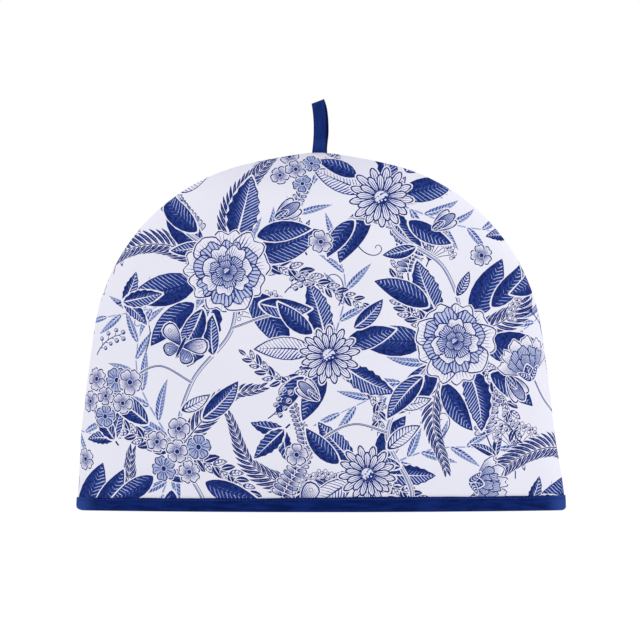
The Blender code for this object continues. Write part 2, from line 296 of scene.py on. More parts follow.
class Blade:
    """A leaf or a long petal: an arc with a width that rises and falls."""

    LEAST_BEND, LEAST_WIDTH = 1e-3, 0.04
    TOOTH_OUT, TOOTH_IN = 1.06, 0.9

    def __init__(self, base, angle, length, half, bend, shape):
        self.base, self.angle, self.length = np.asarray(base, float), angle, length
        self.half, self.bend = half, bend if abs(bend) > self.LEAST_BEND else self.LEAST_BEND
        self.shape = shape
        p, q = shape
        self.peak = (p / (p + q)) ** p * (q / (p + q)) ** q
        self.radius = length / self.bend

    def width(self, u):
        u = np.clip(u, 0.0, 1.0)
        p, q = self.shape
        return self.half * u**p * (1.0 - u) ** q / self.peak

    def place(self, s, c):
        """Where the points s along the arc and c across it lie."""
        turned = self.angle + s / self.radius
        a = self.angle
        x = self.radius * (np.sin(turned) - math.sin(a)) - c * np.sin(turned)
        y = self.radius * (math.cos(a) - np.cos(turned)) + c * np.cos(turned)
        return self.base + paired(x, y)

    def find(self, points):
        """The other way round: shares u and v, and lengths s and c, of points."""
        normal = np.array([-math.sin(self.angle), math.cos(self.angle)])
        off = points - (self.base + self.radius * normal)
        reach = np.linalg.norm(off, axis=-1)
        sign = 1.0 if self.radius > 0 else -1.0
        n = -sign * off / np.maximum(reach, 1e-9)[..., None]
        turned = turned_to(np.arctan2(-n[..., 0], n[..., 1]) - self.angle)
        s, c = self.radius * turned, self.radius - sign * reach
        u = np.clip(s / self.length, 0.0, 1.0)
        v = np.clip(c / np.maximum(self.width(u), 0.2), -1.0, 1.0)
        return u, v, s, c

    def outline(self, grow, steps, teeth=0):
        """Both edges and the middle, base to tip, grown or shrunk by a margin."""
        steps = max(steps, 2 * teeth)
        if teeth:
            u = np.linspace(0.0, 1.0, steps + 1)
            jag = np.where(np.arange(steps + 1) % 2, self.TOOTH_OUT, self.TOOTH_IN)
            w = self.width(u) * jag
        else:
            u = 0.5 - 0.5 * np.cos(np.linspace(0.0, math.pi, steps + 1))
            w = self.width(u)
        w = np.maximum(w + grow, 0.0 if grow >= 0 else self.LEAST_WIDTH)
        s = u * self.length + grow * 1.6 * (2.0 * u - 1.0)
        return self.place(s, w), self.place(s, -w), self.place(s, 0.0 * s)


class Sector:
    """A petal of a rosette: a slice round a centre with a scalloped rim."""

    def __init__(self, centre, angle, spread, length, notch, lobes, seed):
        self.centre, self.angle, self.spread = np.asarray(centre, float), angle, spread
        self.length, self.notch, self.lobes, self.seed = length, notch, lobes, seed

    def rim(self, v):
        round_off = 1.0 - 0.30 * np.abs(v) ** 2.6
        dip = self.notch * np.exp(-((v / 0.22) ** 2))
        ripple = self.lobes * np.cos(7.0 * v + self.seed * 5.0)
        return self.length * (round_off - dip + ripple)

    def find(self, points):
        off = points - self.centre
        reach = np.linalg.norm(off, axis=-1)
        turned = turned_to(np.arctan2(off[..., 1], off[..., 0]) - self.angle)
        v = np.clip(turned / self.spread, -1.0, 1.0)
        u = np.clip(reach / self.rim(v), 0.0, 1.0)
        return u, v, reach, reach * np.sin(turned)

    def outline(self, grow, steps):
        v = np.linspace(-1.0, 1.0, steps + 1)
        a = self.angle + v * (self.spread + grow / self.length)
        r = (self.rim(v) + grow)[:, None]
        ends = paired(np.cos(a), np.sin(a))
        low = self.centre + ends[[-1, 0]] * self.length * 0.25
        return np.concatenate([self.centre + ends * r, low])


class Disc:
    """A ball or a dot, lit from the upper left."""

    def __init__(self, centre, radius):
        self.centre, self.radius = np.asarray(centre, float), radius

    def find(self, points):
        off = (points - self.centre) / self.radius
        u = np.clip(np.linalg.norm(off, axis=-1), 0.0, 1.0)
        v = np.clip(off @ heading(-0.9), -1.0, 1.0)
        return u, v, off[..., 0], off[..., 1]

    def outline(self, grow, steps):
        a = np.linspace(0.0, 2 * math.pi, steps, endpoint=False)
        return self.centre + (self.radius + grow) * paired(np.cos(a), np.sin(a))


def round_off(left, right):
    """One closed outline from two edges that meet at both ends."""
    return np.concatenate([left, right[-2:0:-1]])


def sideways(line):
    """Unit normals along a line."""
    along = np.gradient(line, axis=0)
    along /= np.maximum(np.linalg.norm(along, axis=1), 1e-9)[:, None]
    return paired(-along[:, 1], along[:, 0])


class Print:
    """The print as a painter's list: what is added later covers the rest."""

    RIBBON_PIECE = 6  # points in one piece of a ribbon

    def __init__(self):
        self.faces = []
        self.layer = 0

    def clear(self, centre, radius):
        """Take away what a full flower is going to cover altogether."""
        self.faces = [
            f for f in self.faces
            if (np.linalg.norm(f[0] - centre, axis=1) > radius).any()
        ]

    def face(self, points, ink, shape=None):
        """One patch of ink, kept anticlockwise."""
        x, y = points[:, 0], points[:, 1]
        area = np.dot(x, np.roll(y, -1)) - np.dot(y, np.roll(x, -1))
        self.faces.append((points if area > 0 else points[::-1], ink, shape, self.layer))

    def bare_round(self, blade, margin, steps):
        """The bare cloth that is left round a leaf."""
        left, right, _ = blade.outline(margin, steps)
        self.face(np.concatenate([left, right[::-1]]), "white")

    def blade(self, blade, ink, rim, halo, steps, rib=None, teeth=0):
        """A leaf: white halo, navy rim, two inked halves and a midrib."""
        if halo:
            self.bare_round(blade, halo, steps - 2)
        left, right, _ = blade.outline(0.0, steps, teeth)
        if rim:
            self.face(round_off(left, right), "navy")
        left, right, middle = blade.outline(-rim, steps, teeth)
        self.face(round_off(left, middle), ink, blade)
        self.face(round_off(right, middle), ink, blade)
        if rib:
            length, bend = blade.length * 0.94, blade.bend * 0.94
            line = Blade(blade.base, blade.angle, length, blade.half * 0.045 + 0.22, bend, (0.12, 0.9))
            left, right, _ = line.outline(0.0, 5)
            self.face(round_off(left, right), rib)

    def rounded(self, shape, ink, rim, halo, steps):
        """A petal or a ball: white halo, navy rim and an inked middle."""
        if halo:
            self.face(shape.outline(halo, steps), "white")
        if rim:
            self.face(shape.outline(0.0, steps), "navy")
        self.face(shape.outline(-rim, steps), ink, shape)

    def ribbon(self, line, widths, ink):
        """A band along a curve, in pieces short enough to be simple shapes."""
        edge = sideways(line) * widths[:, None] / 2
        for k in range(0, len(line) - 1, self.RIBBON_PIECE):
            part = slice(k, k + self.RIBBON_PIECE + 1)
            self.face(np.concatenate([(line + edge)[part], (line - edge)[part][::-1]]), ink)


def curve(points, step=3.5):
    """A smooth curve through the points."""
    p = np.asarray(points, float)
    p = np.concatenate([[2 * p[0] - p[1]], p, [2 * p[-1] - p[-2]]])
    out = []
    for k in range(1, len(p) - 2):
        n = max(int(np.linalg.norm(p[k + 1] - p[k]) / step), 2)
        for t in np.linspace(0.0, 1.0, n, endpoint=False):
            a = 2 * p[k] + (p[k + 1] - p[k - 1]) * t
            b = (2 * p[k - 1] - 5 * p[k] + 4 * p[k + 1] - p[k + 2]) * t**2
            c = (3 * p[k] - p[k - 1] - 3 * p[k + 1] + p[k + 2]) * t**3
            out.append((a + b + c) / 2)
    out.append(p[-2])
    return np.array(out)


def path_from(headings, steps):
    """The points of a path, from its heading and length at each step."""
    return np.cumsum(paired(np.cos(headings), np.sin(headings)) * steps, 0)


def walk(line, first=1):
    """Each point of a line, with its number and the heading up to it."""
    for k in range(first, len(line)):
        x, y = line[k] - line[k - 1]
        yield k, line[k], math.atan2(y, x)


# --- Motifs: each takes the print, its place on the cloth, and its sizes ------
def stem(art, points, width, end_width):
    """A navy branch, which has a pale middle and a shaded side if it is thick."""
    line = curve(points)
    w = np.linspace(width, end_width, len(line))
    art.ribbon(line, w + 1.4, "white")
    art.ribbon(line, w, "navy")
    if width > 1.3:
        inside = np.maximum(w - 0.95, 0.12)
        art.ribbon(line, inside, "white")
        art.ribbon(line + sideways(line) * (inside * 0.2)[:, None], inside * 0.6, "wash")
    return line


def twig(art, points, width):
    """A stem that tapers."""
    stem(art, points, width, width * 0.75)


def branch(art, points, width):
    """A thick stem with single leaves to its left and right."""
    line = stem(art, points, width, width)
    for k, ink in enumerate(STEM_LEAVES):
        at = int(len(line) * (k + 0.5) / len(STEM_LEAVES))
        x, y = line[min(at + 1, len(line) - 1)] - line[at - 1]
        side = 1 if k % 2 else -1
        angle = math.atan2(y, x) + side * 0.95
        leaf(art, line[at], angle, 25 + 5 * wobble(k, width), ink, -0.35 * side)


def tendril(art, base, angle, size, hand):
    """A curl that tightens toward its end."""
    t = np.linspace(0.0, 1.0, 26)
    turned = angle + hand * (0.2 * t + 6.2 * t**2.2)
    steps = size * (1.0 - 0.75 * t) * 0.085
    art.ribbon(base + path_from(turned, steps[:, None]), np.linspace(0.85, 0.5, len(t)), "navy")


def peony(art, centre, radius, seed):
    """A full rosette: rings of scalloped petals round a tight heart."""
    art.clear(centre, radius * 0.8)
    rings = (  # petals, length, spread, ink, rim, halo
        (9, 1.00, 0.52, "petal", 0.85, 0.8),
        (8, 0.80, 0.52, "petal_blue", 0.85, 0.0),
        (7, 0.61, 0.56, "petal", 0.85, 0.0),
        (6, 0.43, 0.62, "petal_deep", 0.7, 0.0),
        (4, 0.26, 0.85, "petal_deep", 0.7, 0.0),
    )
    for ring, (count, length, spread, ink, rim, halo) in enumerate(rings):
        order = list(range(0, count, 2)) + list(range(1, count, 2))
        for k in order:
            turned = 2 * math.pi * (k + 0.5 * (ring % 2)) / count + seed + 0.09 * wobble(k, seed + ring)
            size = radius * length * (1.0 + 0.07 * wobble(k + 3, seed * 2 + ring))
            notch = 0.07 + 0.03 * wobble(k, ring)
            petal = Sector(centre, turned, spread, size, notch, 0.035, wobble(k, seed))
            art.rounded(petal, ink, rim=rim, halo=halo, steps=12)
    art.rounded(Disc(centre, radius * 0.085), "ball", rim=0.45, halo=0.0, steps=10)


def daisy(art, centre, radius, seed):
    """Long pointed petals in two rings round a dotted centre."""
    count = 13
    for ring, (length, half, halo) in enumerate(((1.0, 0.135, 0.6), (0.78, 0.12, 0.0))):
        for k in range(count):
            turned = 2 * math.pi * (k + 0.5 * ring) / count + seed
            size = radius * length * (1.0 + 0.05 * wobble(k, seed + ring)) - radius * 0.12
            base = centre + heading(turned) * radius * 0.12
            petal = Blade(base, turned, size, radius * half, 0.12 * wobble(k, seed), (0.9, 0.5))
            art.blade(petal, "ray", rim=0.66, halo=halo, steps=8)
    art.rounded(Disc(centre, radius * 0.23), "ball", rim=0.45, halo=0.0, steps=14)
    for k in range(9):
        at = centre + heading(2.4 * k) * radius * 0.062 * math.sqrt(k + 0.5)
        art.rounded(Disc(at, radius * 0.026 + 0.12), "white", rim=0.0, halo=0.0, steps=6)


def small_flower(art, centre, radius, seed, ink="petal"):
    """Five broad petals round a dark dot."""
    for k in (0, 2, 4, 1, 3):
        turned = 2 * math.pi * k / 5 + seed
        size = radius * (1 + 0.06 * wobble(k, seed))
        petal = Sector(centre, turned, 0.72, size, 0.1, 0.02, seed)
        art.rounded(petal, ink, rim=0.78, halo=0.6, steps=9)
    art.rounded(Disc(centre, radius * 0.2), "navy", rim=0.45, halo=0.35, steps=8)


def cluster(art, centre, size, count, turn):
    """A loose bunch of small flowers, the nearest one last."""
    for k in range(count):
        reach = size * 0.62 * (k < count - 1)
        at = centre + heading(turn + 2 * math.pi * k / (count - 1)) * reach
        radius = size * (0.36 + 0.05 * wobble(k, turn))
        small_flower(art, at, radius, turn + k, "petal" if k % 3 else "floret_blue")


def fan_flower(art, base, angle, size, seed):
    """A flower seen from the side: a fan of frilled petals out of a cup."""
    rings = (  # petals, length, half the fan, ink, halo
        (6, 1.0, 0.95, "petal", 0.7),
        (5, 0.78, 0.7, "petal_blue", 0.0),
        (3, 0.58, 0.4, "petal_deep", 0.0),
    )
    for ring, (count, length, fan, ink, halo) in enumerate(rings):
        middle = (count - 1) / 2
        for k in sorted(range(count), key=lambda k: -abs(k - middle)):
            t = (k - middle) / max(middle, 1)
            long = size * length * (1 - 0.1 * t * t + 0.04 * wobble(k, seed))
            petal = Sector(base, angle + fan * t, 0.23 + 0.05 * ring, long, 0.05, 0.04, wobble(k, seed))
            art.rounded(petal, ink, rim=0.76, halo=halo, steps=9)
    cup = Blade(base - heading(angle) * size * 0.12, angle, size * 0.42, size * 0.15, 0.0, (0.45, 0.75))
    art.blade(cup, "leaf_dark", rim=0.5, halo=0.6, rib="white", steps=8)
    for side in (-1, 1):
        foot = base - heading(angle) * size * 0.1
        sepal = Blade(foot, angle + 0.55 * side, size * 0.4, size * 0.075, 0.5 * side, (0.5, 0.8))
        art.blade(sepal, "leaf_shade", rim=0.45, halo=0.5, steps=7)


def bud(art, base, angle, size):
    """Three closed petals between two sepals."""
    for side in (-1, 1, 0):
        long = size * (1.0 - 0.06 * abs(side))
        petal = Blade(base, angle + 0.2 * side, long, size * 0.21, 0.25 * side, (0.6, 0.55))
        art.blade(petal, "petal" if side else "petal_deep", rim=0.62, halo=0.6, steps=7)
    for side in (-1, 1):
        foot = base - heading(angle) * 1.0
        sepal = Blade(foot, angle + 0.38 * side, size * 0.55, size * 0.1, -0.7 * side, (0.5, 0.9))
        art.blade(sepal, "leaf_dark", rim=0.4, halo=0.4, rib="white", steps=6)


def leaf(art, base, angle, size, ink, bend, plump=0.19, teeth=0):
    """The common leaf, with a white rib if it is dark and a navy one if not."""
    blade = Blade(base, angle, size, size * plump, bend, (0.72, 0.95))
    rib = "white" if ink == "leaf_dark" else "navy"
    art.blade(blade, ink, rim=0.66, halo=0.8, rib=rib, teeth=teeth, steps=10)


def wreath(art, centre, reach, size, count, turn, inks, plump, seed):
    """Leaves all round a flower, each growing out from under it."""
    for k in range(count):
        angle = turn + 2 * math.pi * k / count + 0.2 * wobble(k, seed)
        long = size * (1.0 + 0.14 * wobble(k + 5, seed))
        base = centre + heading(angle) * reach
        bend = 0.5 * wobble(k + 2, seed)
        out = angle + 0.1 * wobble(k, seed + 1)
        leaf(art, base, out, long, inks[k % len(inks)], bend, plump, 7 if k % 3 == 1 else 0)


def trefoil(art, base, angle, size, ink):
    """Three toothed leaflets on one stalk."""
    fork = base + heading(angle) * size * 0.16
    art.ribbon(np.array([base, (base + fork) / 2, fork]), np.full(3, 1.3), "navy")
    for side in (-1, 1, 0):
        long, half = (size * 0.7, size * 0.14) if side else (size * 0.86, size * 0.17)
        blade = Blade(fork, angle + 0.72 * side, long, half, 0.45 * side, (0.75, 1.0))
        art.blade(blade, ink, rim=0.5, halo=0.8, rib="white", teeth=6, steps=10)


def berries(art, base, angle, size, hand):
    """A thin twig with round berries on short stalks."""
    turned = angle + hand * 0.8 * np.linspace(0, 1, 9)
    line = np.concatenate([[base], base + path_from(turned, size / 9)])
    art.ribbon(line, np.linspace(0.9, 0.5, len(line)), "navy")
    for k in range(2, len(line)):
        out = turned[k - 1] + (0.9 if k % 2 else -0.9)
        stalk = 3.6 if k < len(line) - 1 else 0.5
        end = line[k] + heading(out) * stalk
        middle = (line[k] + end) / 2 + 0.2
        art.ribbon(np.array([line[k], middle, end]), np.array([0.6, 0.5, 0.5]), "navy")
        berry = Disc(end + heading(out) * 1.2, 1.7 + 0.25 * wobble(k, size))
        art.rounded(berry, "ball", rim=0.4, halo=0.4, steps=9)


def butterfly(art, centre, angle, size):
    """Four spotted wings, a thin body and two feelers."""
    wings = (  # heading, length, half width, ink, shape
        (2.35, 0.62, 0.23, "petal_blue", (0.9, 0.4)),
        (1.05, 0.92, 0.27, "petal", (1.1, 0.42)),
    )
    for side in (-1, 1):
        for out, length, half, ink, shape in wings:
            long = size * length
            wing = Blade(centre, angle + side * out * 0.9, long, size * half, 0.35 * side, shape)
            art.blade(wing, ink, rim=0.7, halo=0.6, steps=8)
            spot = wing.place(np.array([long * 0.74]), np.array([0.0]))[0]
            art.rounded(Disc(spot, size * 0.055), "white", rim=0.35, halo=0.0, steps=8)
    tail = centre - heading(angle) * size * 0.38
    body = Blade(tail, angle, size * 0.75, size * 0.055, 0.0, (0.4, 0.35))
    art.blade(body, "navy", rim=0.0, halo=0.3, steps=7)
    head = centre + heading(angle) * size * 0.36
    for side in (-1, 1):
        feeler = angle + side * (0.25 + 0.5 * np.linspace(0, 1, 7))
        art.ribbon(head + path_from(feeler, size * 0.06), np.full(7, 0.5), "navy")


def sprig(art, points, size):
    """A thin stalk with small leaves in pairs, dark and light."""
    line = curve(points, size * 0.46)
    count = len(line)
    art.ribbon(line, np.linspace(1.0, 0.5, count), "navy")
    for k, place, turned in walk(line):
        for side in (-1, 1) if k < count - 1 else (0,):
            here = size * (1.0 - 0.45 * k / count) * (1.0 + 0.12 * wobble(k + 5 * side, size))
            blade = Blade(place, turned + side * 0.85, here, here * 0.22, -0.5 * side, (0.62, 0.8))
            ink, rib = (("navy", "white"), ("leaf_light", "navy"))[(k + (side > 0)) % 2]
            art.blade(blade, ink, rim=0.48, halo=0.4, rib=rib, steps=6)


def fern(art, points, size):
    """A frond: narrow leaflets in pairs, longest a third of the way up."""
    line = curve(points, 4.3)
    count = len(line)
    for k, place, turned in walk(line):
        t = k / count
        here = size * (0.3 + 1.8 * t**0.5 * (1.0 - t) ** 0.8) * (1.0 + 0.08 * wobble(k, size))
        for side in (-1, 1):
            out = turned + side * (1.0 - 0.45 * t)
            blade = Blade(place, out, here, here * 0.03 + 0.85, -0.6 * side, (0.5, 0.8))
            art.bare_round(blade, 0.4, 5)
            left, right, _ = blade.outline(0.0, 6)
            art.face(round_off(left, right), "navy")
            left, right, middle = blade.outline(-0.42, 5)
            art.face(round_off(left if side > 0 else right, middle), "frond", blade)
    art.ribbon(line, np.linspace(1.8, 0.6, count), "white")
    art.ribbon(line, np.linspace(1.0, 0.4, count), "navy")


def willow(art, points, size):
    """A pale stalk with long narrow leaves."""
    line = curve(points, size * 0.3)
    count = len(line)
    art.ribbon(line, np.linspace(1.5, 0.7, count), "ghost")
    for k, place, turned in walk(line):
        here = size * (1.0 - 0.35 * k / count) * (1.0 + 0.14 * wobble(k, size))
        side = (1 if k % 2 else -1) * (k < count - 1)
        bend = 0.6 * side * wobble(k, 2.0)
        blade = Blade(place, turned + side * 0.6, here, here * 0.1, bend, (0.6, 1.0))
        art.blade(blade, "ghost_vein", rim=0.0, halo=0.5, rib="white", steps=7)


def umbel(art, base, angle, size):
    """A stalk whose rays each carry a head of tiny flowers."""
    rays = 9
    fork = base + heading(angle) * size * 0.5
    art.ribbon(np.linspace(base, fork, 5), np.full(5, 0.9), "navy")
    for k in range(rays):
        out = angle + 0.95 * (2.0 * k / (rays - 1) - 1.0)
        tip = fork + heading(out) * size * 0.5 * (1.0 + 0.1 * wobble(k, size))
        middle = (fork + tip) / 2 + heading(angle) * size * 0.035
        ray = curve((fork, middle, tip), 2.5)
        art.ribbon(ray, np.full(len(ray), 0.5), "navy")
        for j in range(5):
            at = tip + heading(out + (j - 2) * 0.9) * size * (0.065 if j != 2 else 0.09)
            ink = "ball" if j % 2 else "white"
            art.rounded(Disc(at, size * 0.036 + 0.3), ink, rim=0.46, halo=0.3, steps=7)


def spike(art, points, size):
    """A flower spike: small buds close round a stalk, open ones lowest."""
    line = curve(points, size * 0.36)
    count = len(line)
    first = count // 3
    art.ribbon(line, np.linspace(1.2, 0.5, count), "navy")
    for k, place, turned in walk(line, first):
        t = (k - first) / max(count - first, 1)
        here = size * (1.05 - 0.55 * t)
        for side in (-1, 1):
            out = turned + side * (0.95 - 0.5 * t)
            blade = Blade(place, out, here, here * 0.24, 0.7 * side, (0.8, 0.5))
            ink = "petal" if (k + (side > 0)) % 3 else "petal_blue"
            art.blade(blade, ink, rim=0.48, halo=0.4, steps=6)
    x, y = line[3] - line[2]
    for side in (-1, 1):
        out = math.atan2(y, x) + 0.5 * side
        blade = Blade(line[2], out, size * 2.4, size * 0.36, 0.5 * side, (0.6, 1.0))
        art.blade(blade, "leaf_dark", rim=0.4, halo=0.5, rib="white", steps=8)


# --- One tile of the print: where its motifs are, and how large ----------------
# A motif's row has its place, or the points of its path, and then its own sizes.
# Most paths start under a flower and grow out from it.
TILE, DROP = 300.0, 150.0  # the sides of a tile, and the drop of each second column
# How far a tile's motifs can be from the middle of its foot: aside, below, above.
ASIDE, BELOW, ABOVE = 190.0, 70.0, 330.0
DARK, MIXED = ("leaf_deep", "leaf_dark", "leaf_deep"), ("leaf_deep", "leaf_dark", "leaf_light")
STEM_LEAVES = ("leaf_shade", "leaf_dark", "leaf_light", "leaf_dark") * 2

# Path, and the size of a leaf or bud.
WILLOWS = (
    (((-66, 174), (-22, 206), (-4, 240)), 36), (((100, 122), (60, 92), (16, 70)), 36),
    (((-104, 42), (-134, 96), (-128, 146)), 36), (((46, 230), (96, 210), (132, 204)), 34),
    (((-104, 42), (-128, -6), (-168, -30)), 34), (((34, 26), (84, 44), (134, 44)), 34),
    (((8, 112), (20, 160), (12, 196)), 34), (((-66, 174), (-110, 150), (-158, 140)), 34),
)
FERNS = (
    (((-66, 174), (-112, 194), (-152, 186), (-190, 156)), 17), (((-66, 174), (-60, 222), (-34, 262)), 17),
    (((100, 122), (146, 144), (160, 190)), 17), (((34, 26), (-8, 16), (-46, 30), (-64, 66)), 16),
    (((46, 230), (88, 240), (122, 276)), 16), (((-104, 42), (-70, 78), (-42, 88)), 15),
    (((100, 122), (84, 74), (92, 30)), 15),
)
SPRIGS = (
    (((-66, 174), (-28, 178), (6, 162), (32, 150)), 14), (((100, 122), (60, 150), (58, 190)), 13),
    (((100, 122), (138, 84), (152, 36)), 14), (((-104, 42), (-146, 60), (-166, 96)), 13),
    (((-104, 42), (-66, 26), (-44, -4), (-46, -44)), 13), (((8, 112), (-22, 92), (-52, 112)), 13),
    (((34, 26), (74, 4), (98, -30)), 13), (((46, 230), (14, 252), (14, 290)), 13),
    (((8, 112), (40, 84), (44, 58)), 13),
)
SPIKES = (
    (((-34, -22), (-28, 10), (-10, 44), (-18, 76)), 9), (((70, 150), (66, 180), (92, 206)), 9),
    (((-66, 174), (-104, 226), (-122, 262)), 9), (((134, 32), (124, 64), (142, 92)), 9),
    (((-8, 186), (-20, 214), (-10, 236)), 9),
)
# Path, and width.
BRANCHES = (
    (
        (
            (-98, -40), (-84, 0), (-104, 44), (-92, 92), (-62, 132), (-66, 178), (-104, 214),
            (-98, 260), (-84, 300),
        ),
        2.8,
    ),
    (((52, -36), (66, 10), (50, 56), (74, 96), (104, 128), (92, 176), (54, 206), (50, 250), (64, 300)), 2.6),
)
TWIGS = (
    (((-92, 92), (-116, 104), (-136, 96), (-146, 84)), 1.5),
    (((-62, 132), (-30, 142), (-8, 134), (4, 118)), 1.5), (((-104, 214), (-126, 228), (-140, 250)), 1.5),
    (((50, 56), (26, 62), (4, 52), (-10, 34)), 1.5), (((54, 206), (26, 214), (4, 200)), 1.5),
)
# Place, angle and length, then the ink and the bend where there is one.
UMBELS = (
    ((-34, 118), 1.9, 38), ((74, 166), 1.2, 34), ((146, 22), 1.5, 38), ((-126, 282), 2.4, 34),
    ((4, -8), 1.7, 34),
)
TREFOILS = (
    ((-20, 62), -2.4, 36, "leaf_deep"), ((-150, 150), 0.2, 36, "leaf_dark"),
    ((150, 196), 2.2, 34, "leaf_dark"),
)
LEAVES = (
    ((-90, 150), 3.7, 46, "leaf_deep", 0.4), ((-84, 146), 4.4, 42, "leaf_dark", -0.4),
    ((-44, 200), 0.3, 40, "leaf_deep", -0.3), ((-42, 150), -0.3, 38, "leaf_dark", 0.4),
    ((-88, 204), 2.5, 44, "leaf_deep", -0.4), ((80, 148), 2.5, 44, "leaf_deep", 0.4),
    ((128, 98), -0.4, 42, "leaf_deep", -0.4), ((92, 92), -1.2, 42, "leaf_deep", 0.4),
    ((-84, 20), -0.5, 40, "leaf_deep", 0.4), ((-126, 62), 2.4, 42, "leaf_dark", 0.4),
    ((-110, 14), -1.6, 38, "leaf_deep", -0.4), ((-4, 128), 2.6, 34, "leaf_deep", -0.4),
    ((-10, 96), 3.9, 34, "leaf_deep", 0.4), ((14, 34), 2.5, 34, "leaf_deep", -0.4),
    ((26, 212), 3.9, 34, "leaf_deep", 0.4), ((66, 212), -0.7, 36, "leaf_deep", 0.4),
    ((76, 96), 3.8, 40, "leaf_dark", 0.4), ((128, 148), 0.7, 40, "leaf_deep", 0.4),
    ((-124, 24), 3.8, 38, "leaf_deep", -0.4), ((-84, 66), 0.6, 38, "leaf_dark", 0.4),
    ((26, 132), 0.6, 30, "leaf_dark", 0.4), ((28, 246), 2.5, 32, "leaf_deep", 0.4),
    ((64, 250), 0.6, 32, "leaf_dark", -0.4), ((48, 10), -0.8, 30, "leaf_dark", 0.4),
    ((50, 44), 0.8, 30, "leaf_light", -0.4),
)
# Place, angle, length, and the hand it curls to.
TENDRILS = (
    ((-128, 112), 1.2, 32, 1), ((14, 146), 1.2, 30, 1), ((-120, 220), 0.6, 30, -1),
    ((24, 200), -1.0, 28, 1), ((82, 46), 0.6, 30, 1),
)
BERRIES = (
    ((-150, 200), 2.0, 26, 1), ((132, 262), 1.0, 28, -1), ((-36, 66), 0.6, 24, 1),
    ((-24, 158), 0.9, 22, -1), ((84, 268), 0.4, 26, 1),
)
# Place of the flower, how far out, length, count, turn, inks, plumpness, seed.
WREATHS = (
    ((-66, 174), 23, 54, 6, 0.3, DARK, 0.22, 0.1), ((100, 122), 22, 52, 6, 1.0, DARK, 0.22, 0.5),
    ((8, 112), 12, 40, 5, 0.5, MIXED, 0.2, 0.3), ((46, 230), 12, 42, 5, 0.2, MIXED, 0.2, 0.7),
    ((34, 26), 12, 38, 5, 1.1, MIXED, 0.2, 1.1),
)
# Place, angle and length, then the seed where there is one.
FANS = (((-140, 246), 1.9, 31, 0.1), ((112, 20), -0.2, 29, 0.5))
BUDS = (((-30, 214), 0.6, 21), ((0, 80), 2.4, 19), ((84, 206), 0.6, 20), ((142, 96), -0.9, 22))
# Place, radius and seed.
SMALL = (((-16, 40), 9, 0.2), ((-140, 92), 10, 0.9), ((2, 196), 9, 0.5), ((120, 186), 9, 0.6))
DAISIES = (((8, 112), 22, 0.1), ((46, 230), 24, 0.4), ((34, 26), 21, 0.8))
PEONIES = (((-66, 174), 32, 0.2), ((100, 122), 31, 0.7))
# Place, size, count and turn.
CLUSTERS = (((-104, 42), 27, 6, 0.2), ((140, 232), 24, 6, 0.9), ((-16, 252), 20, 5, 0.4))
# Place, angle and size.
BUTTERFLIES = (((-14, 0), 2.2, 24), ((-100, 118), 1.1, 22))

# What is drawn, from the cloth up, layer by layer.
LAYERS = (
    ((willow, WILLOWS),),
    ((fern, FERNS), (sprig, SPRIGS), (spike, SPIKES), (umbel, UMBELS), (wreath, WREATHS)),
    ((branch, BRANCHES), (twig, TWIGS), (tendril, TENDRILS)),
    ((leaf, LEAVES), (trefoil, TREFOILS), (berries, BERRIES)),
    (
        (fan_flower, FANS), (bud, BUDS), (small_flower, SMALL), (cluster, CLUSTERS),
        (daisy, DAISIES), (peony, PEONIES), (butterfly, BUTTERFLIES),
    ),
)


def tile_art(dx, dy):
    """The faces of one tile of the print."""
    art = Print()
    for layer, motifs in enumerate(LAYERS):
        art.layer = layer
        for motif, rows in motifs:
            for place, *sizes in rows:
                motif(art, np.array([dx, dy]) + place, *sizes)
    return art.faces


def panel_art(low, high, shift):
    """The print over a panel: its tiles in columns, each second one dropped."""
    faces = []
    for i in (-2, -1, 0, 1, 2):
        for j in (2, 1, 0, -1, -2):
            dx = i * TILE + shift[0]
            dy = j * TILE + (DROP if i % 2 else 0.0) + shift[1]
            if abs(dx) < ASIDE - low[0] and low[1] - ABOVE < dy < high[1] + BELOW:
                faces += tile_art(dx, dy)
    faces.sort(key=lambda face: face[3])
    return [f[:3] for f in faces if (f[0].max(0) > low).all() and (f[0].min(0) < high).all()]


# --- Cutting the panel's triangles along the print ------------------------------
# Points nearer than this are one: among the shapes, and on the finished cloth.
SHAPES_SNAP, CLOTH_SNAP = 1e-4, 1e-6
BOUNDS_SLACK = 0.01


def triangulate(points, edges, faces, snap):
    """Triangles over the faces, and the points and faces that they come from."""
    made = delaunay_2d_cdt([Vector(p) for p in points.tolist()], edges, faces, 1, snap)
    return np.array([v[:] for v in made[0]]), np.array(made[2]), made[3], made[5]


def inside(points, polygon):
    """Which points are inside a polygon, by the even-odd rule."""
    x, y = points[:, 0], points[:, 1]
    odd = np.zeros(len(points), bool)
    for (ax, ay), (bx, by) in zip(polygon, np.roll(polygon, -1, axis=0)):
        if ay != by:
            odd ^= ((ay > y) != (by > y)) & (x < ax + (y - ay) * (bx - ax) / (by - ay))
    return odd


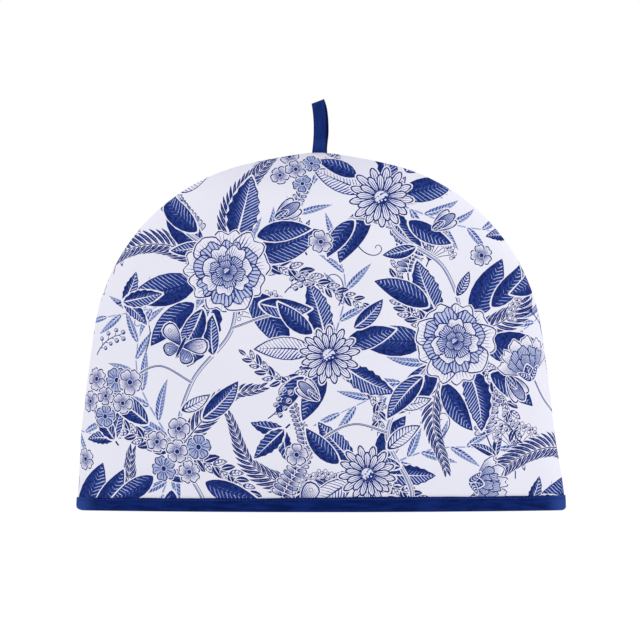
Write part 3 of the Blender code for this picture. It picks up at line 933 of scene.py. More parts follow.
def overlay(outline, shapes):
    """Triangles over all the shapes, and the last shape that covers each."""
    shapes = [outline] + shapes
    firsts = np.cumsum([0] + [len(s) for s in shapes]).tolist()
    polygons = [list(range(a, b)) for a, b in zip(firsts, firsts[1:])]
    where, tris, _, covers = triangulate(np.concatenate(shapes), [], polygons, SHAPES_SNAP)
    middle = where[tris].mean(axis=1)
    # A shape whose edges run along another's can spread past its own bounds,
    # so each shape that does is filled by a test of its own.
    tri = np.repeat(np.arange(len(tris)), [len(s) for s in covers])
    source = np.concatenate([np.array(s, int) for s in covers])
    low = np.array([s.min(axis=0) for s in shapes]) - BOUNDS_SLACK
    high = np.array([s.max(axis=0) for s in shapes]) + BOUNDS_SLACK
    outside = ((middle[tri] < low[source]) | (middle[tri] > high[source])).any(axis=1)
    spread = np.unique(source[outside])
    kept = ~np.isin(source, spread)
    owner = np.full(len(tris), -1)
    np.maximum.at(owner, tri[kept], source[kept])
    for k in spread:
        near = ((middle > low[k]) & (middle < high[k])).all(axis=1) & (owner < k)
        near[near] = inside(middle[near], shapes[k])
        owner[near] = k
    keep = np.unique(tri[source == 0])
    return where, tris[keep], np.maximum(owner[keep], 0)


def edges_of(tris):
    return np.concatenate([tris[:, [0, 1]], tris[:, [1, 2]], tris[:, [2, 0]]])


def rim_loop(tris):
    """The vertices round the edge of a patch of triangles, in order."""
    known = set(map(tuple, edges_of(tris).tolist()))
    follows = {a: b for a, b in known if (b, a) not in known}
    loop = [next(iter(follows))]
    while True:
        ahead = follows.pop(loop[-1])
        if ahead == loop[0]:
            break
        loop.append(ahead)
    if follows:
        raise ValueError("the cloth's rim is not one loop")
    return np.array(loop)


def borders(tris, look):
    """Edges where the look changes, and those round the outside."""
    edges = np.sort(edges_of(tris), axis=1)
    look = np.tile(look, 3)
    order = np.lexsort((edges[:, 1], edges[:, 0]))
    edges, look = edges[order], look[order]
    paired = (edges[1:] == edges[:-1]).all(axis=1)
    first = np.concatenate([paired, [False]])
    second = np.concatenate([[False], paired])
    changes = np.zeros(len(edges), bool)
    changes[:-1] = paired & (look[1:] != look[:-1])
    return edges[changes | ~(first | second)]


def cut_print(outline, inner_points, faces):
    """Triangles of the outline's area, each with its ink at its corners."""
    where, tris, owner = overlay(outline, [f[0] for f in faces])
    # Flat inks of one name are one look, and bare cloth counts as white.
    names = {"white": 0}
    looks = [0]
    for k, (_, name, shape) in enumerate(faces):
        looks.append(-names.setdefault(name, len(names)) if shape is None else k + 1)
    edges = borders(tris, np.array(looks)[owner])
    used, edges = np.unique(edges, return_inverse=True)
    rim = np.searchsorted(used, rim_loop(tris)).tolist()
    points = np.concatenate([where[used], inner_points])
    seen = BVHTree.FromPolygons([(x, y, 0.0) for x, y in where.tolist()], tris.tolist())
    where, tris, _, _ = triangulate(points, edges.reshape(-1, 2).tolist(), [rim], CLOTH_SNAP)
    middle = where[tris].mean(axis=1)
    owner = owner[[seen.find_nearest((x, y, 0.0))[2] for x, y in middle.tolist()]]
    ink = np.zeros((len(tris), 3, 3))
    ink[..., 1] = BARE
    order = np.argsort(owner, kind="stable")
    for group in np.split(order, np.flatnonzero(np.diff(owner[order])) + 1):
        if owner[group[0]] <= 0:
            continue
        _, name, shape = faces[owner[group[0]] - 1]
        corners = where[tris[group]]
        u = v = s = c = np.zeros(corners.shape[:2])
        if shape is not None:
            u, v, s, c = shape.find(corners)
        if isinstance(shape, Blade):
            # The two halves keep their own side of the midrib.
            v = np.abs(v) * np.sign(shape.find(corners.mean(axis=1))[1])[:, None]
        ink[group] = ink_at(name, u, v, s, c)
    return where, tris, ink


# --- The cloth laid flat, row by row -----------------------------------------
def run_along(line):
    """How far along a line each of its points is."""
    return np.concatenate([[0.0], np.cumsum(np.linalg.norm(np.diff(line, axis=0), axis=1))])


class FlatCloth:
    """Where each point of the flat panel lies on its padded outer face."""

    ROWS, COLUMNS, SAMPLES = 260, 241, 401
    EDGE_STEP, FOOT_POINTS = 2.0, 150
    GRID_STEP, GRID_MARGIN = 2.7, 1.3

    def __init__(self):
        t = np.linspace(0.0, 1.0, self.ROWS)
        self.z = HEIGHT - (HEIGHT - HEM_EDGE) * (1.0 - t) ** 2
        y = outer_depth(np.zeros(self.ROWS), self.z)
        steps = np.hypot(np.diff(y), np.diff(self.z))
        self.up = np.concatenate([[0.0], np.cumsum(steps)])
        turned = np.sin(np.linspace(-math.pi / 2, math.pi / 2, self.COLUMNS))
        x = OUTER.half_width(self.z)[:, None] * turned
        y = outer_depth(x, self.z[:, None] + 0.0 * x)
        run = np.cumsum(np.hypot(np.diff(x), np.diff(y)), axis=1)
        run = np.concatenate([np.zeros((self.ROWS, 1)), run], axis=1)
        self.half = run[:, -1] / 2
        share = run / np.maximum(run[:, -1:], 1e-9) * 2.0 - 1.0
        at = np.linspace(-1.0, 1.0, self.SAMPLES)
        self.turned = np.array([np.interp(at, row, turned) for row in share])

    def half_at(self, t):
        return np.interp(t, self.up, self.half)

    def place(self, points, at_edge):
        """Flat points to x and z on the panel; at_edge marks the outline's."""
        s, t = points[:, 0], points[:, 1]
        share = np.clip(s / np.maximum(self.half_at(t), 1e-6), -1.0, 1.0)
        share = np.where(at_edge, np.sign(share), share)
        row = np.interp(t, self.up, np.arange(self.ROWS))
        column = (share + 1.0) / 2.0 * (self.SAMPLES - 1)
        i = np.minimum(row.astype(int), self.ROWS - 2)
        j = np.minimum(column.astype(int), self.SAMPLES - 2)
        a, b = row - i, column - j
        turned = (1 - a) * ((1 - b) * self.turned[i, j] + b * self.turned[i, j + 1])
        turned += a * ((1 - b) * self.turned[i + 1, j] + b * self.turned[i + 1, j + 1])
        z = np.interp(t, self.up, self.z)
        return turned * OUTER.half_width(z), z

    def outline(self):
        """The flat panel's edge, anticlockwise from its lower left corner."""
        side = paired(self.half, self.up)
        run = run_along(side)
        at = np.linspace(0.0, run[-1], int(run[-1] / self.EDGE_STEP))
        side = np.stack([np.interp(at, run, side[:, k]) for k in (0, 1)], axis=-1)
        foot = np.linspace(-self.half[0], self.half[0], self.FOOT_POINTS)[:-1]
        foot = paired(foot, 0.0 * foot)
        return np.concatenate([foot, side, side[-2:0:-1] * (-1, 1)])

    def grid(self):
        """Even points inside the edge, so that the curved cloth stays smooth."""
        s = np.arange(-self.half.max(), self.half.max(), self.GRID_STEP)
        t = np.arange(self.GRID_MARGIN, self.up[-1] - self.GRID_MARGIN, self.GRID_STEP)
        s, t = (a.ravel() for a in np.meshgrid(s, t))
        keep = np.abs(s) < self.half_at(t) - self.GRID_MARGIN
        return paired(s[keep], t[keep])


# --- Meshes and pieces ---------------------------------------------------------
def put_uv(mesh, name, coordinates):
    layer = mesh.uv_layers.new(name=name)
    layer.uv.foreach_set("vector", coordinates.astype(np.float32).ravel())


def put_values(mesh, name, domain, values):
    layer = mesh.attributes.new(name, "FLOAT_VECTOR", domain)
    layer.data.foreach_set("vector", values.astype(np.float32).ravel())


def rounded_mesh(name, points, faces):
    """A smooth mesh that faces outward, from points in millimetres."""
    mesh = bpy.data.meshes.new(name)
    mesh.from_pydata((points * MM).tolist(), [], faces)
    bm = bmesh.new()
    bm.from_mesh(mesh)
    bmesh.ops.recalc_face_normals(bm, faces=bm.faces)
    bm.to_mesh(mesh)
    bm.free()
    mesh.shade_smooth()
    return mesh


def sweep_faces(rows, ring, closed_along):
    """Faces over rows of points, each a closed ring, with ends if it is open."""
    ids = np.arange(rows * ring).reshape(rows, ring)
    across = np.roll(ids, -1, axis=1)
    quads = np.stack([ids, across, np.roll(across, -1, axis=0), np.roll(ids, -1, axis=0)], axis=-1)
    if closed_along:
        return quads.reshape(-1, 4).tolist()
    return quads[:-1].reshape(-1, 4).tolist() + [ids[0, ::-1].tolist(), ids[-1].tolist()]


def swept(name, points, closed_along):
    """A mesh from an array of sections, each a closed ring of points."""
    return rounded_mesh(name, points.reshape(-1, 3), sweep_faces(*points.shape[:2], closed_along))


def add_piece(mesh, material, node=None):
    """The mesh as a piece of the cosy, in the place of a solid if it has one."""
    mesh.materials.append(material)
    piece = add_object(mesh.name, mesh)
    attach(piece, "root")
    if node:
        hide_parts(node)
    return piece


# --- Padded panels -------------------------------------------------------------
# Points within the inner face: how far apart, from its rim, out and from its foot.
INSIDE_STEP, INSIDE_MARGIN, INSIDE_REACH, INSIDE_LOW = 7.0, 3.0, 170, 4
AT_FOOT = 1e-3
# The baked picture has the printed face at the foot, the seam allowance in a
# strip at the top, and the inside between them at a smaller scale.
PRINT_SCALE, PRINT_AT = 400.0, (0.5, 0.004)
INSIDE_SCALE, INSIDE_AT = 1050.0, (0.2, 0.74)
STRIP_FROM, STRIP_LENGTH, STRIP_TOP, STRIP_WIDTH = 0.45, 0.5, 0.985, 0.01


def printed_face(shift):
    """The outer face: flat points, triangles, ink, and its rim in order."""
    room = 2.0
    low = (-FLAT.half.max() - room, -room)
    high = (FLAT.half.max() + room, FLAT.up[-1] + room)
    flat, tris, ink = cut_print(FLAT.outline(), FLAT.grid(), panel_art(low, high, shift))
    used, tris = np.unique(tris, return_inverse=True)
    tris = tris.reshape(-1, 3)
    return flat[used], tris, ink, rim_loop(tris)


def inside_face(rim_x, rim_z):
    """The inner face, from the same rim, a seam allowance further in."""
    foot = rim_z < HEM_EDGE + AT_FOOT
    ring_x, ring_z = OUTER.inset_point(rim_x, rim_z, SEAM_BAND)
    ring_x = np.where(foot, rim_x * INNER.hem_half / OUTER.hem_half, ring_x)
    ring_z = np.where(foot, HEM_EDGE, ring_z)
    # Below the lowest arc the points may not pass each other on the way in.
    for half in (rim_x < 0, rim_x > 0):
        down = np.flatnonzero(half)[np.argsort(-rim_z[half], kind="stable")]
        ring_z[down] = np.minimum.accumulate(ring_z[down])
    ring = paired(ring_x, ring_z)
    across = np.arange(-INSIDE_REACH, INSIDE_REACH + 1, INSIDE_STEP)
    up = np.arange(HEM_EDGE + INSIDE_LOW, HEIGHT, INSIDE_STEP)
    x, z = (a.ravel() for a in np.meshgrid(across, up))
    grid = paired(x, z)[INNER.distance(x, z) > INSIDE_MARGIN]
    flat = np.concatenate([ring, grid])
    _, tris, sources, _ = triangulate(flat, [], [list(range(len(ring)))], CLOTH_SNAP)
    source = np.array([min(ids) for ids in sources])
    return flat, source[tris[:, ::-1]]


def build_panel(name, node, shift, at_back):
    """A padded panel: printed outer face, joined edges and plain inside."""
    flat, tris, ink, loop = printed_face(shift)
    at_rim = np.zeros(len(flat), bool)
    at_rim[loop] = True
    x, z = FLAT.place(flat, at_rim & (flat[:, 1] > AT_FOOT))
    inner_flat, within = inside_face(x[loop], z[loop])
    inner_x, inner_z = inner_flat.T
    at = np.arange(len(loop)) + len(flat)
    band = np.stack([np.roll(loop, -1), loop, at, np.roll(at, -1)], axis=-1)

    points = np.concatenate([on_face(printed_depth, x, z), on_face(inner_depth, inner_x, inner_z)]) * MM
    outer_normals = face_normals(printed_depth, x, z, OUTER, 1.0)
    inner_normals = face_normals(inner_depth, inner_x, inner_z, INNER, -1.0)
    normals = np.concatenate([outer_normals, inner_normals])
    faces = [tris, band, within + len(flat)]
    if at_back:
        points, normals = points * (1, -1, 1), normals * (1, -1, 1)
        faces = [f[:, ::-1] for f in faces]
        ink = ink[:, ::-1]
    mesh = bpy.data.meshes.new(name)
    mesh.from_pydata(points.tolist(), [], sum((f.tolist() for f in faces), []))
    corners = np.concatenate([f.ravel() for f in faces])
    printed, joined = slice(0, tris.size), slice(tris.size, tris.size + band.size)
    values = np.zeros((len(corners), 3))
    values[:, 1] = BARE
    values[printed] = ink.reshape(-1, 3)
    put_values(mesh, "ink", "CORNER", values)

    lying = np.concatenate([flat, inner_flat])[corners]
    put_uv(mesh, "cloth", lying * MM)
    bake = lying / INSIDE_SCALE + INSIDE_AT
    bake[printed] = lying[printed] / PRINT_SCALE + PRINT_AT
    along = np.repeat(np.arange(len(loop)) / len(loop), 4)
    ahead = np.tile([1, 0, 0, 1], len(loop)) * STRIP_LENGTH / len(loop)
    bake[joined, 0] = STRIP_FROM + STRIP_LENGTH * along + ahead
    bake[joined, 1] = STRIP_TOP + np.tile([0, 0, 1, 1], len(loop)) * STRIP_WIDTH
    put_uv(mesh, "OFBake", bake)
    mesh.shade_smooth()
    mesh.normals_split_custom_set_from_vertices(normals.tolist())
    return add_piece(mesh, COTTON, node)


# --- Tape round the hem ----------------------------------------------------------
STATIONS = 560  # round the binding
INNER_TURN = 160.0  # half the length of its inner leaf
CORNERS, CORNER_RUN, CORNER_TUCK = (3.5, 2.2), 5.0, 1.9  # lower corners: radii, left and right
CLIMB_FROM, CLIMB_RUN = 0.9, 8.25  # the heights over which it takes up the edge's rise
FOOT_IN = 0.6  # how far its bottom's edges are from the cloth
# A little unevenness: of its edge, above a height, and of its face, between two.
EDGE_UNEVEN, EDGE_FROM, FACE_UNEVEN, FACE_FROM, FACE_TO = 0.22, 8.8, 0.06, 2.0, 8.5
PAINTED_SHEEN, SHEEN_FROM, SHEEN_RUN = 0.95, 160.0, 14.0  # painted sheen: the tape lighter at both ends, where it turns away
# Points of its section: how far it stands out from the cloth, and height.
OUTER_LEAF = (
    (0.62, 9.5), (0.92, 9.38), (1.08, 9.0), (1.04, 8.45), (0.86, 8.0), (1.06, 7.5), (1.2, 6.6),
    (1.27, 5.0), (1.3, 3.4), (1.28, 2.4), (1.26, 1.7), (1.14, 1.15), (0.86, 0.5), (0.42, 0.12),
)
INNER_LEAF = (
    (-0.5, 0.12), (-0.86, 0.5), (-1.0, 1.2), (-1.0, 4.0), (-0.98, 7.2), (-0.84, 8.0),
    (-0.98, 8.6), (-0.9, 9.3), (-0.6, 9.5), (-0.1, 9.3), (0.0, 8.0), (0.0, 1.0),
)
# The outer leaf's own back, up the cloth: as above, then the share of the rise.
OUTER_BACK = ((0.0, 1.0, 0.0), (0.30, 2.0, 0.2), (0.30, 8.0, 0.9), (0.34, 9.3, 1.0))
# Stitches: pitch, height, and sections along one with how far each stands out.
STITCH, STITCH_HEIGHT, STITCH_SIDES = 2.7, 8.0, 6
STITCH_OUTSIDE, STITCH_INSIDE = 0.98, -0.96  # off the paths of both leaves
STITCH_AT = (0.08, 0.2, 0.5, 0.8, 0.92)
STITCH_LIFT = (-0.22, -0.02, 0.04, -0.02, -0.22)
STITCH_RADIUS = (0.08, 0.2, 0.24, 0.2, 0.08)


def put_tape_uv(mesh, along, across):
    """Lengths along and across the tape, for its weave, at each vertex."""
    corner = np.empty(len(mesh.loops), np.int64)
    mesh.loops.foreach_get("vertex_index", corner)
    u, v = along.ravel()[corner], across.ravel()[corner]
    starts = np.empty(len(mesh.polygons), np.int64)
    totals = np.empty(len(mesh.polygons), np.int64)
    mesh.polygons.foreach_get("loop_start", starts)
    mesh.polygons.foreach_get("loop_total", totals)
    face = np.repeat(np.arange(len(starts)), totals)
    # A face that closes the ring takes the values past its end, not 0.
    for values in (u, v):
        span = np.ptp(values)
        top = np.maximum.reduceat(values, starts)
        low = top[face] - values > span / 2
        values[low] += span * (1 + 1 / along.shape[0])
    put_uv(mesh, "cloth", paired(u, v) * MM)


def put_tone(mesh, lightened, darkened):
    """How much lighter and darker the tape is painted at each vertex."""
    lightened = np.broadcast_to(lightened, darkened.shape)
    put_values(mesh, "tone", "POINT", np.stack([lightened, darkened, 0.0 * darkened], axis=-1))


def hem_paths():
    """Plan curves of the panels' outer face and of the binding's inner leaf."""
    turn = np.linspace(0.0, 2 * math.pi, STATIONS, endpoint=False)
    side = np.sign(np.sin(turn))
    x = HALF_HEM * np.cos(turn)
    y = outer_depth(x, np.full(STATIONS, STRAIGHT_TOP))
    y = np.where(np.abs(np.sin(turn)) < 1e-9, 0.0, y)
    outer = paired(x, side * y)
    x = INNER_TURN * np.cos(turn)
    y = inner_depth(x, np.full(STATIONS, STRAIGHT_TOP)) - 1.5 * GAP
    y = y * np.sqrt(np.maximum(1.0 - np.abs(np.cos(turn)) ** 40, 0.0))  # the ends come together
    return outer, paired(x, side * y)


def outward(path):
    """Unit normals of a closed path, pointing out of it."""
    along = np.roll(path, -1, axis=0) - np.roll(path, 1, axis=0)
    along /= np.linalg.norm(along, axis=1)[:, None]
    return paired(along[:, 1], -along[:, 0])


def rounding(radius, height):
    """How far a round lower corner is drawn in at a height."""
    below = np.maximum(radius - height, 0.0)
    return radius - np.sqrt(np.maximum(radius**2 - below**2, 0.0))


def build_binding(outer, inner):
    """The folded tape that holds the panels' lower edges."""
    out, back = outward(outer), outward(inner)
    x = outer[:, 0]
    run = np.cumsum(np.linalg.norm(outer - np.roll(outer, 1, axis=0), axis=1))
    uneven = 0.5 * np.sin(run / 23.0) + 0.3 * np.sin(run / 8.7 + 1.0) + 0.2 * np.sin(run / 3.9)
    at_end = smooth((np.abs(x) - HALF_HEM + CORNER_RUN) / CORNER_RUN)
    corner = np.where(x < 0, CORNERS[0], CORNERS[1])
    rows = []
    for d, h in OUTER_LEAF:
        climb = edge_rise(x) * np.clip((h - CLIMB_FROM) / CLIMB_RUN, 0.0, 1.0)
        drawn_in = at_end * rounding(corner, h)
        stands = d - drawn_in + FACE_UNEVEN * uneven * (FACE_FROM < h < FACE_TO)
        level = h + climb + EDGE_UNEVEN * uneven * (h > EDGE_FROM)
        rows.append((outer + out * stands[:, None], level))
    across = inner - outer
    across /= np.linalg.norm(across, axis=1)[:, None]
    foot = FOOT_IN + at_end * (corner - CORNER_TUCK)
    rows.append((outer + across * foot[:, None], 0.0))
    rows.append((inner - across * FOOT_IN, 0.0))
    rows += [(inner + back * d, h) for d, h in INNER_LEAF]
    rows += [(outer + out * d, h + risen * edge_rise(x)) for d, h, risen in OUTER_BACK]
    points = np.stack([np.column_stack([place, level + 0.0 * x]) for place, level in rows], axis=1)
    mesh = swept("hem_tape", points, True)
    # Painted sheen lightens both ends, where the tape turns away, and painted shade darkens it a touch along
    # the stitched groove.
    lightened = PAINTED_SHEEN * smooth((np.abs(x) - SHEEN_FROM) / SHEEN_RUN)
    edge = np.zeros(points.shape[:2])
    # Painted shade in the groove where the stitches run.
    edge[:, 4:6] = 0.3
    put_tone(mesh, lightened[:, None], edge)
    wide = np.cumsum(np.linalg.norm(np.diff(points, axis=1, prepend=points[:, :1]), axis=2), axis=1)
    put_tape_uv(mesh, np.repeat(run[:, None], points.shape[1], axis=1), wide)
    binding = add_piece(mesh, TAPE_CLOTH, "hem_binding")


def build_stitches(outer, inner):
    """Thread along both leaves of the binding, just below its edge."""
    points, faces = [], []
    stitch = sweep_faces(len(STITCH_AT), STITCH_SIDES, False)
    turns = np.linspace(0.0, 2 * math.pi, STITCH_SIDES, endpoint=False)
    for path, stand, sign in ((outer, STITCH_OUTSIDE, 1.0), (inner, STITCH_INSIDE, -1.0)):
        closed = np.concatenate([path, path[:1]])
        out = outward(path)
        out = np.concatenate([out, out[:1]])
        run = run_along(closed)
        count = int(run[-1] / STITCH)
        pitch = run[-1] / count
        for k in range(count):
            spots = (k + np.array(STITCH_AT)) * pitch
            middle = np.stack([np.interp(spots, run, closed[:, i]) for i in (0, 1)], -1)
            normal = np.stack([np.interp(spots, run, out[:, i]) for i in (0, 1)], -1)
            high = STITCH_HEIGHT + 0.05 * math.sin(k * 1.7)
            high += 0.9 * edge_rise(middle[2, 0]) if sign > 0 else 0.0
            faces += [[len(points) + i for i in face] for face in stitch]
            for spot, n, lift, radius in zip(middle, normal, STITCH_LIFT, STITCH_RADIUS):
                for turn in turns:
                    place = spot + n * (stand + sign * lift + radius * math.cos(turn))
                    points.append((*place, high + radius * math.sin(turn)))
    add_piece(rounded_mesh("hem_stitches", np.array(points), faces), THREAD)


# --- Loop at the crown -----------------------------------------------------------
LOOP_WIDTH, LOOP_TAPE, LOOP_RISE, LOOP_FOOT, LOOP_OPEN = 9.9, 1.1, 37.1, 9.0, 4.5
LOOP_X, LOOP_TILT = -1.45, math.radians(20.5)
LOOP_BOW, LOOP_LEAN, LOOP_CURL = 0.74, 0.8, 0.08
SEAM_TOP = 1.5  # above the crown, where the strands start to part
SHIFT_FOOT, SHIFT_TOP = 0.9, 1.75  # of the rear strand beside the front one
FOOT_PART = 0.2  # of each half of the loop's line that lies below there
# Shares of the rise: where the strands stand fully apart, close, and tilt.
OPENED, FOLD_FROM, TILT_FROM = 0.55, 0.62, 0.4
LOOP_STATIONS = 150


def loop_line(t):
    """Middle line of the loop, with its tilt and how narrow it is."""
    closed = SEAM_GAP + LOOP_TAPE / 2 + 0.1
    straight, peak = HEIGHT + SEAM_TOP, HEIGHT + LOOP_RISE - LOOP_TAPE / 2
    side = np.where(t < 0.5, -1.0, 1.0)
    s = 1.0 - np.abs(2.0 * t - 1.0)
    turn = np.clip((s - FOOT_PART) / (1.0 - FOOT_PART), 0.0, 1.0)
    low = HEIGHT - LOOP_FOOT + (straight - HEIGHT + LOOP_FOOT) * s / FOOT_PART
    z = np.where(s < FOOT_PART, low, straight + (peak - straight) * np.sin(turn * math.pi / 2))
    rise = np.clip((z - straight) / (peak - straight), 0.0, 1.0)
    opened = closed + (LOOP_OPEN - closed) * smooth(rise / OPENED)
    folded = np.maximum((rise - FOLD_FROM) / (1.0 - FOLD_FROM), 0.0)
    fold = np.sqrt(np.maximum(1.0 - folded**2, 0.0))
    y = side * np.where(s < FOOT_PART, closed, opened * fold)
    bow = LOOP_BOW * np.sin(math.pi * rise) - LOOP_LEAN * rise**3
    shift = SHIFT_FOOT + (SHIFT_TOP - SHIFT_FOOT) * smooth(rise / TILT_FROM)
    bow += np.where(side > 0, shift * (1.0 - rise**8), 0.0)
    tilt = LOOP_TILT * smooth((rise - TILT_FROM) / (1.0 - TILT_FROM))
    narrow = 1.0 - LOOP_CURL * np.sin(math.pi * rise) ** 0.6
    return np.stack([LOOP_X + bow, y, z], axis=-1), tilt, narrow


def loop_section():
    """Across the tape and through it: a flat ribbon with rounded, raised edges."""
    w, h = LOOP_WIDTH / 2, LOOP_TAPE / 2
    flat = -h * 0.86
    edge = [(-w, -0.12), (-w + 0.12, -h * 0.8), (-w + 0.5, -h), (-w + 1.0, flat)]
    half = edge + [(x, flat) for x in (-2.0, 0.0, 2.0)] + [(-x, y) for x, y in edge[::-1]]
    return np.array(half + [(x, -y) for x, y in half[::-1]]).T


def build_loop():
    """The hanging loop, a folded ribbon whose ends are caught in the seam."""
    t = np.linspace(0.0, 1.0, LOOP_STATIONS)
    line, tilt, narrow = loop_line(t)
    along = np.gradient(line, axis=0)
    along /= np.linalg.norm(along, axis=1)[:, None]
    across = np.stack([np.cos(tilt), np.zeros(LOOP_STATIONS), np.sin(tilt)], axis=-1)
    through = np.cross(across, along)
    a, b = loop_section()
    points = line[:, None] + (a * narrow[:, None])[..., None] * across[:, None]
    points = points + b[None, :, None] * through[:, None]
    mesh = swept("loop_tape", points, False)
    # The rear strand is darkened with painted shade from the front one; the edges are a little darker, and
    # the front strand lighter, most of all just above the crown.
    rear = smooth((t - 0.5) / 0.04)
    edges = np.abs(a) > LOOP_WIDTH / 2 - 0.6
    dark = np.maximum(0.75 * rear[:, None], 0.35 * edges[None])
    front_lighter = 0.22 + 0.3 * np.exp(-(((line[:, 2] - HEIGHT - 6.0) / 3.5) ** 2))
    put_tone(mesh, (front_lighter * (1.0 - rear))[:, None], dark)
    run = run_along(line)
    put_tape_uv(mesh, np.repeat(run[:, None], len(a), axis=1), np.repeat(a[None], len(t), axis=0))
    loop = add_piece(mesh, TAPE_CLOTH, "hanging_loop")


# --- Materials, in metres ------------------------------------------------------
def srgb(r, g, b):
    """A colour in display values, as the linear value a shader takes."""
    parts = [v / 255.0 for v in (r, g, b)]
    return tuple(v / 12.92 if v <= 0.04045 else ((v + 0.055) / 1.055) ** 2.4 for v in parts) + (1.0,)


class Nodes:
    """A material and short ways to add and join its nodes."""

    def __init__(self, name, roughness, sheen, specular):
        self.material = bpy.data.materials.new(name)
        self.material.use_nodes = True
        self.tree = self.material.node_tree
        self.shader = self.tree.nodes["Principled BSDF"]
        self.shader.inputs["Roughness"].default_value = roughness
        self.shader.inputs["Sheen Weight"].default_value = sheen
        self.shader.inputs["Sheen Roughness"].default_value = 0.5
        self.shader.inputs["Specular IOR Level"].default_value = specular

    def add(self, kind, inputs=(), **settings):
        node = self.tree.nodes.new("ShaderNode" + kind)
        for key, value in settings.items():
            setattr(node, key, value)
        for key, value in dict(inputs).items():
            if isinstance(value, bpy.types.NodeSocket):
                self.tree.links.new(value, node.inputs[key])
            else:
                node.inputs[key].default_value = value
        return node

    def maths(self, operation, *values):
        return self.add("Math", enumerate(values), operation=operation).outputs[0]

    def blend(self, share, first, second):
        node = self.add("Mix", {"Factor": share, 6: first, 7: second}, data_type="RGBA")
        return node.outputs[2]

    def noise(self, where, scale, detail=2.0):
        node = self.add("TexNoise", {"Vector": where, "Scale": scale, "Detail": detail})
        return node.outputs[0]

    def ramp(self, value, low, high):
        """0 below low and 1 above high."""
        limits = {"Value": value, "From Min": low, "From Max": high}
        return self.add("MapRange", limits, interpolation_type="SMOOTHSTEP").outputs[0]

    def stripes(self, across, pitch):
        """A rounded ridge every pitch metres: 0 in the grooves, 1 on top."""
        turned = self.maths("MULTIPLY", across, 2 * math.pi / pitch)
        return self.maths("MULTIPLY_ADD", self.maths("SINE", turned), 0.5, 0.5)

    def split(self, vector):
        return self.add("SeparateXYZ", {0: vector}).outputs

    def cloth(self):
        """The place on the flat cloth, whole, and along and across it."""
        place = self.add("UVMap", uv_map="cloth").outputs[0]
        s, t, _ = self.split(place)
        return place, s, t

    def values(self, name):
        """What a mesh holds at each of its points or corners."""
        return self.split(self.add("Attribute", attribute_name=name).outputs["Vector"])

    def bump(self, height, distance, strength):
        node = self.add("Bump", {"Height": height, "Distance": distance, "Strength": strength})
        self.tree.links.new(node.outputs[0], self.shader.inputs["Normal"])

    def colour(self, socket):
        self.tree.links.new(socket, self.shader.inputs["Base Color"])


def cotton():
    """White twill with the print in navy and pale blue."""
    n = Nodes("printed_cotton", 0.9, 0.0, 0.04)
    cloth, s, t = n.cloth()
    lines, ink, wash = n.values("ink")
    uneven = n.maths("SUBTRACT", n.noise(cloth, 260.0), 0.5)
    phase = n.maths("MULTIPLY_ADD", uneven, 0.7, lines)
    screen = n.maths("PINGPONG", phase, 0.5)  # 0 between lines and 0.5 on them
    share = n.maths("MULTIPLY_ADD", uneven, 0.3, ink)
    level = n.maths("ADD", n.maths("MULTIPLY", screen, 2.0), n.maths("SUBTRACT", share, 1.0))
    inked = n.ramp(level, -0.1, 0.1)
    # Twill: diagonal ridges crossed by finer threads.
    ridge = n.stripes(n.maths("MULTIPLY_ADD", t, 0.8, s), 0.0011)
    crossing = n.stripes(n.maths("MULTIPLY_ADD", s, -0.35, t), 0.00055)
    weave = n.maths("MULTIPLY_ADD", crossing, 0.35, n.maths("MULTIPLY", ridge, 0.65))
    white = n.blend(n.noise(cloth, 22.0, 3.0), srgb(222, 221, 233), srgb(228, 227, 238))
    white = n.blend(n.maths("MULTIPLY", weave, 0.4), white, srgb(211, 211, 228))
    # A little shade at the crown, where the cloth turns over into the seam.
    white = n.blend(n.ramp(t, 0.225, 0.268), white, srgb(207, 206, 220))
    pale = n.blend(n.noise(cloth, 300.0), srgb(126, 142, 185), srgb(146, 160, 199))
    ground = n.blend(wash, white, pale)
    # The ink is mottled where it is solid, lighter in thin lines and darkest in rims.
    mottle = n.ramp(n.noise(cloth, 430.0, 4.0), 0.36, 0.66)
    navy = n.blend(mottle, srgb(0, 15, 75), srgb(22, 51, 130))
    navy = n.blend(n.ramp(ink, 1.25, 0.4), navy, srgb(20, 61, 148))
    navy = n.blend(n.ramp(ink, 1.6, 1.9), navy, srgb(3, 32, 105))
    cover = n.maths("MULTIPLY", inked, n.maths("MULTIPLY_ADD", weave, -0.03, 1.0))
    n.colour(n.blend(cover, ground, navy))
    n.bump(n.maths("MULTIPLY_ADD", n.noise(cloth, 1500.0), 0.5, weave), 0.00006, 0.5)
    return n.material


def tape_cloth():
    """Navy tape: a fine crossed weave with streaks of wear along it."""
    n = Nodes("navy_tape", 0.85, 0.02, 0.05)
    _, s, t = n.cloth()
    warp = n.stripes(n.maths("ADD", s, t), 0.0006)
    weft = n.stripes(n.maths("SUBTRACT", s, t), 0.0006)
    weave = n.maths("MULTIPLY", warp, weft)
    stretched = n.add("CombineXYZ", {0: n.maths("MULTIPLY", s, 0.16), 1: t}).outputs[0]
    streak = n.ramp(n.noise(stretched, 340.0, 3.0), 0.32, 0.68)
    lightened, darkened, _ = n.values("tone")
    base = n.blend(streak, srgb(0, 19, 71), srgb(13, 36, 103))
    base = n.blend(n.maths("MULTIPLY", weave, 0.3), base, srgb(21, 47, 117))
    # The mesh's tone makes it lighter and darker: painted sheen at the binding's ends, painted shade in its
    # stitched groove and on the loop's rear strand, and on the loop a lighter front strand and darker edges.
    base = n.blend(lightened, base, srgb(38, 65, 137))
    n.colour(n.blend(darkened, base, srgb(2, 12, 50)))
    n.bump(weave, 0.00008, 0.6)
    return n.material


def thread():
    n = Nodes("navy_thread", 0.6, 0.0, 0.15)
    where = n.add("TexCoord").outputs["Object"]
    n.colour(n.blend(n.noise(where, 900.0), srgb(22, 38, 98), srgb(52, 72, 146)))
    return n.material


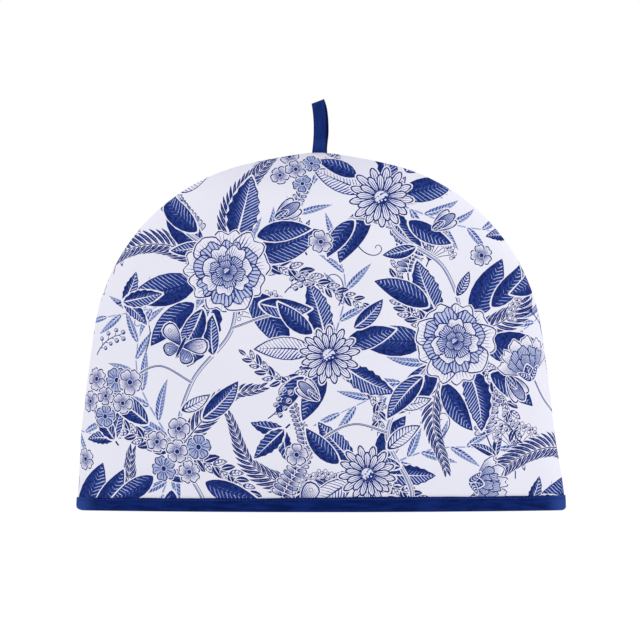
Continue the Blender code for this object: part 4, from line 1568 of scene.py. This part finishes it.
# --- Making the pieces -----------------------------------------------------------
COTTON, TAPE_CLOTH, THREAD = cotton(), tape_cloth(), thread()
FLAT = FlatCloth()
BACK_SHIFT = (140.0, 60.0)  # the back panel is cut from another place on the cloth

front = build_panel("front_cloth", "front_panel", (0.0, 0.0), False)
back = build_panel("back_cloth", "back_panel", BACK_SHIFT, True)
plan = hem_paths()
build_binding(*plan)
build_stitches(*plan)
build_loop()

# --- Floor and light, in metres and watts ----------------------------------------
FLOOR_RADIUS, FLOOR_BELOW = 12.0, 0.0003
FLOOR_GREY, FLOOR_GLOW = 0.2, 0.84  # most of its paleness is its own light
WHITE = (1.0, 1.0, 1.0, 1.0)
AIM = Vector((0.0, 0.0, 0.12))  # the middle of the cosy


def build_floor():
    mesh = bpy.data.meshes.new("floor")
    bm = bmesh.new()
    bmesh.ops.create_circle(bm, cap_ends=True, segments=64, radius=FLOOR_RADIUS)
    bmesh.ops.translate(bm, vec=(0, 0, -FLOOR_BELOW), verts=bm.verts)
    bm.to_mesh(mesh)
    bm.free()
    n = Nodes("pale_floor", 1.0, 0.0, 0.0)
    n.shader.inputs["Base Color"].default_value = (FLOOR_GREY, FLOOR_GREY, FLOOR_GREY, 1.0)
    n.shader.inputs["Emission Color"].default_value = WHITE
    n.shader.inputs["Emission Strength"].default_value = FLOOR_GLOW
    mesh.materials.append(n.material)
    add_object("floor", mesh)


def area_light(name, place, size, power):
    """A soft light aimed at the cosy."""
    data = bpy.data.lights.new(name, "AREA")
    data.size, data.energy = size, power
    light = add_object(name, data)
    light.location = place
    light.rotation_euler = (AIM - Vector(place)).to_track_quat("-Z", "Y").to_euler()


build_floor()
area_light("top", (0.0, -0.3, 2.4), 1.6, 7.0)
area_light("right", (2.4, -0.3, 0.6), 1.4, 10.0)
area_light("left", (-2.4, -0.4, 0.6), 1.4, 4.0)

world = bpy.data.worlds.new("studio")
world.use_nodes = True
background = world.node_tree.nodes["Background"]
background.inputs["Color"].default_value = WHITE
background.inputs["Strength"].default_value = 1.0
bpy.context.scene.world = world
bpy.context.scene.view_settings.view_transform = "Standard"
bpy.context.scene.view_settings.look = "None"
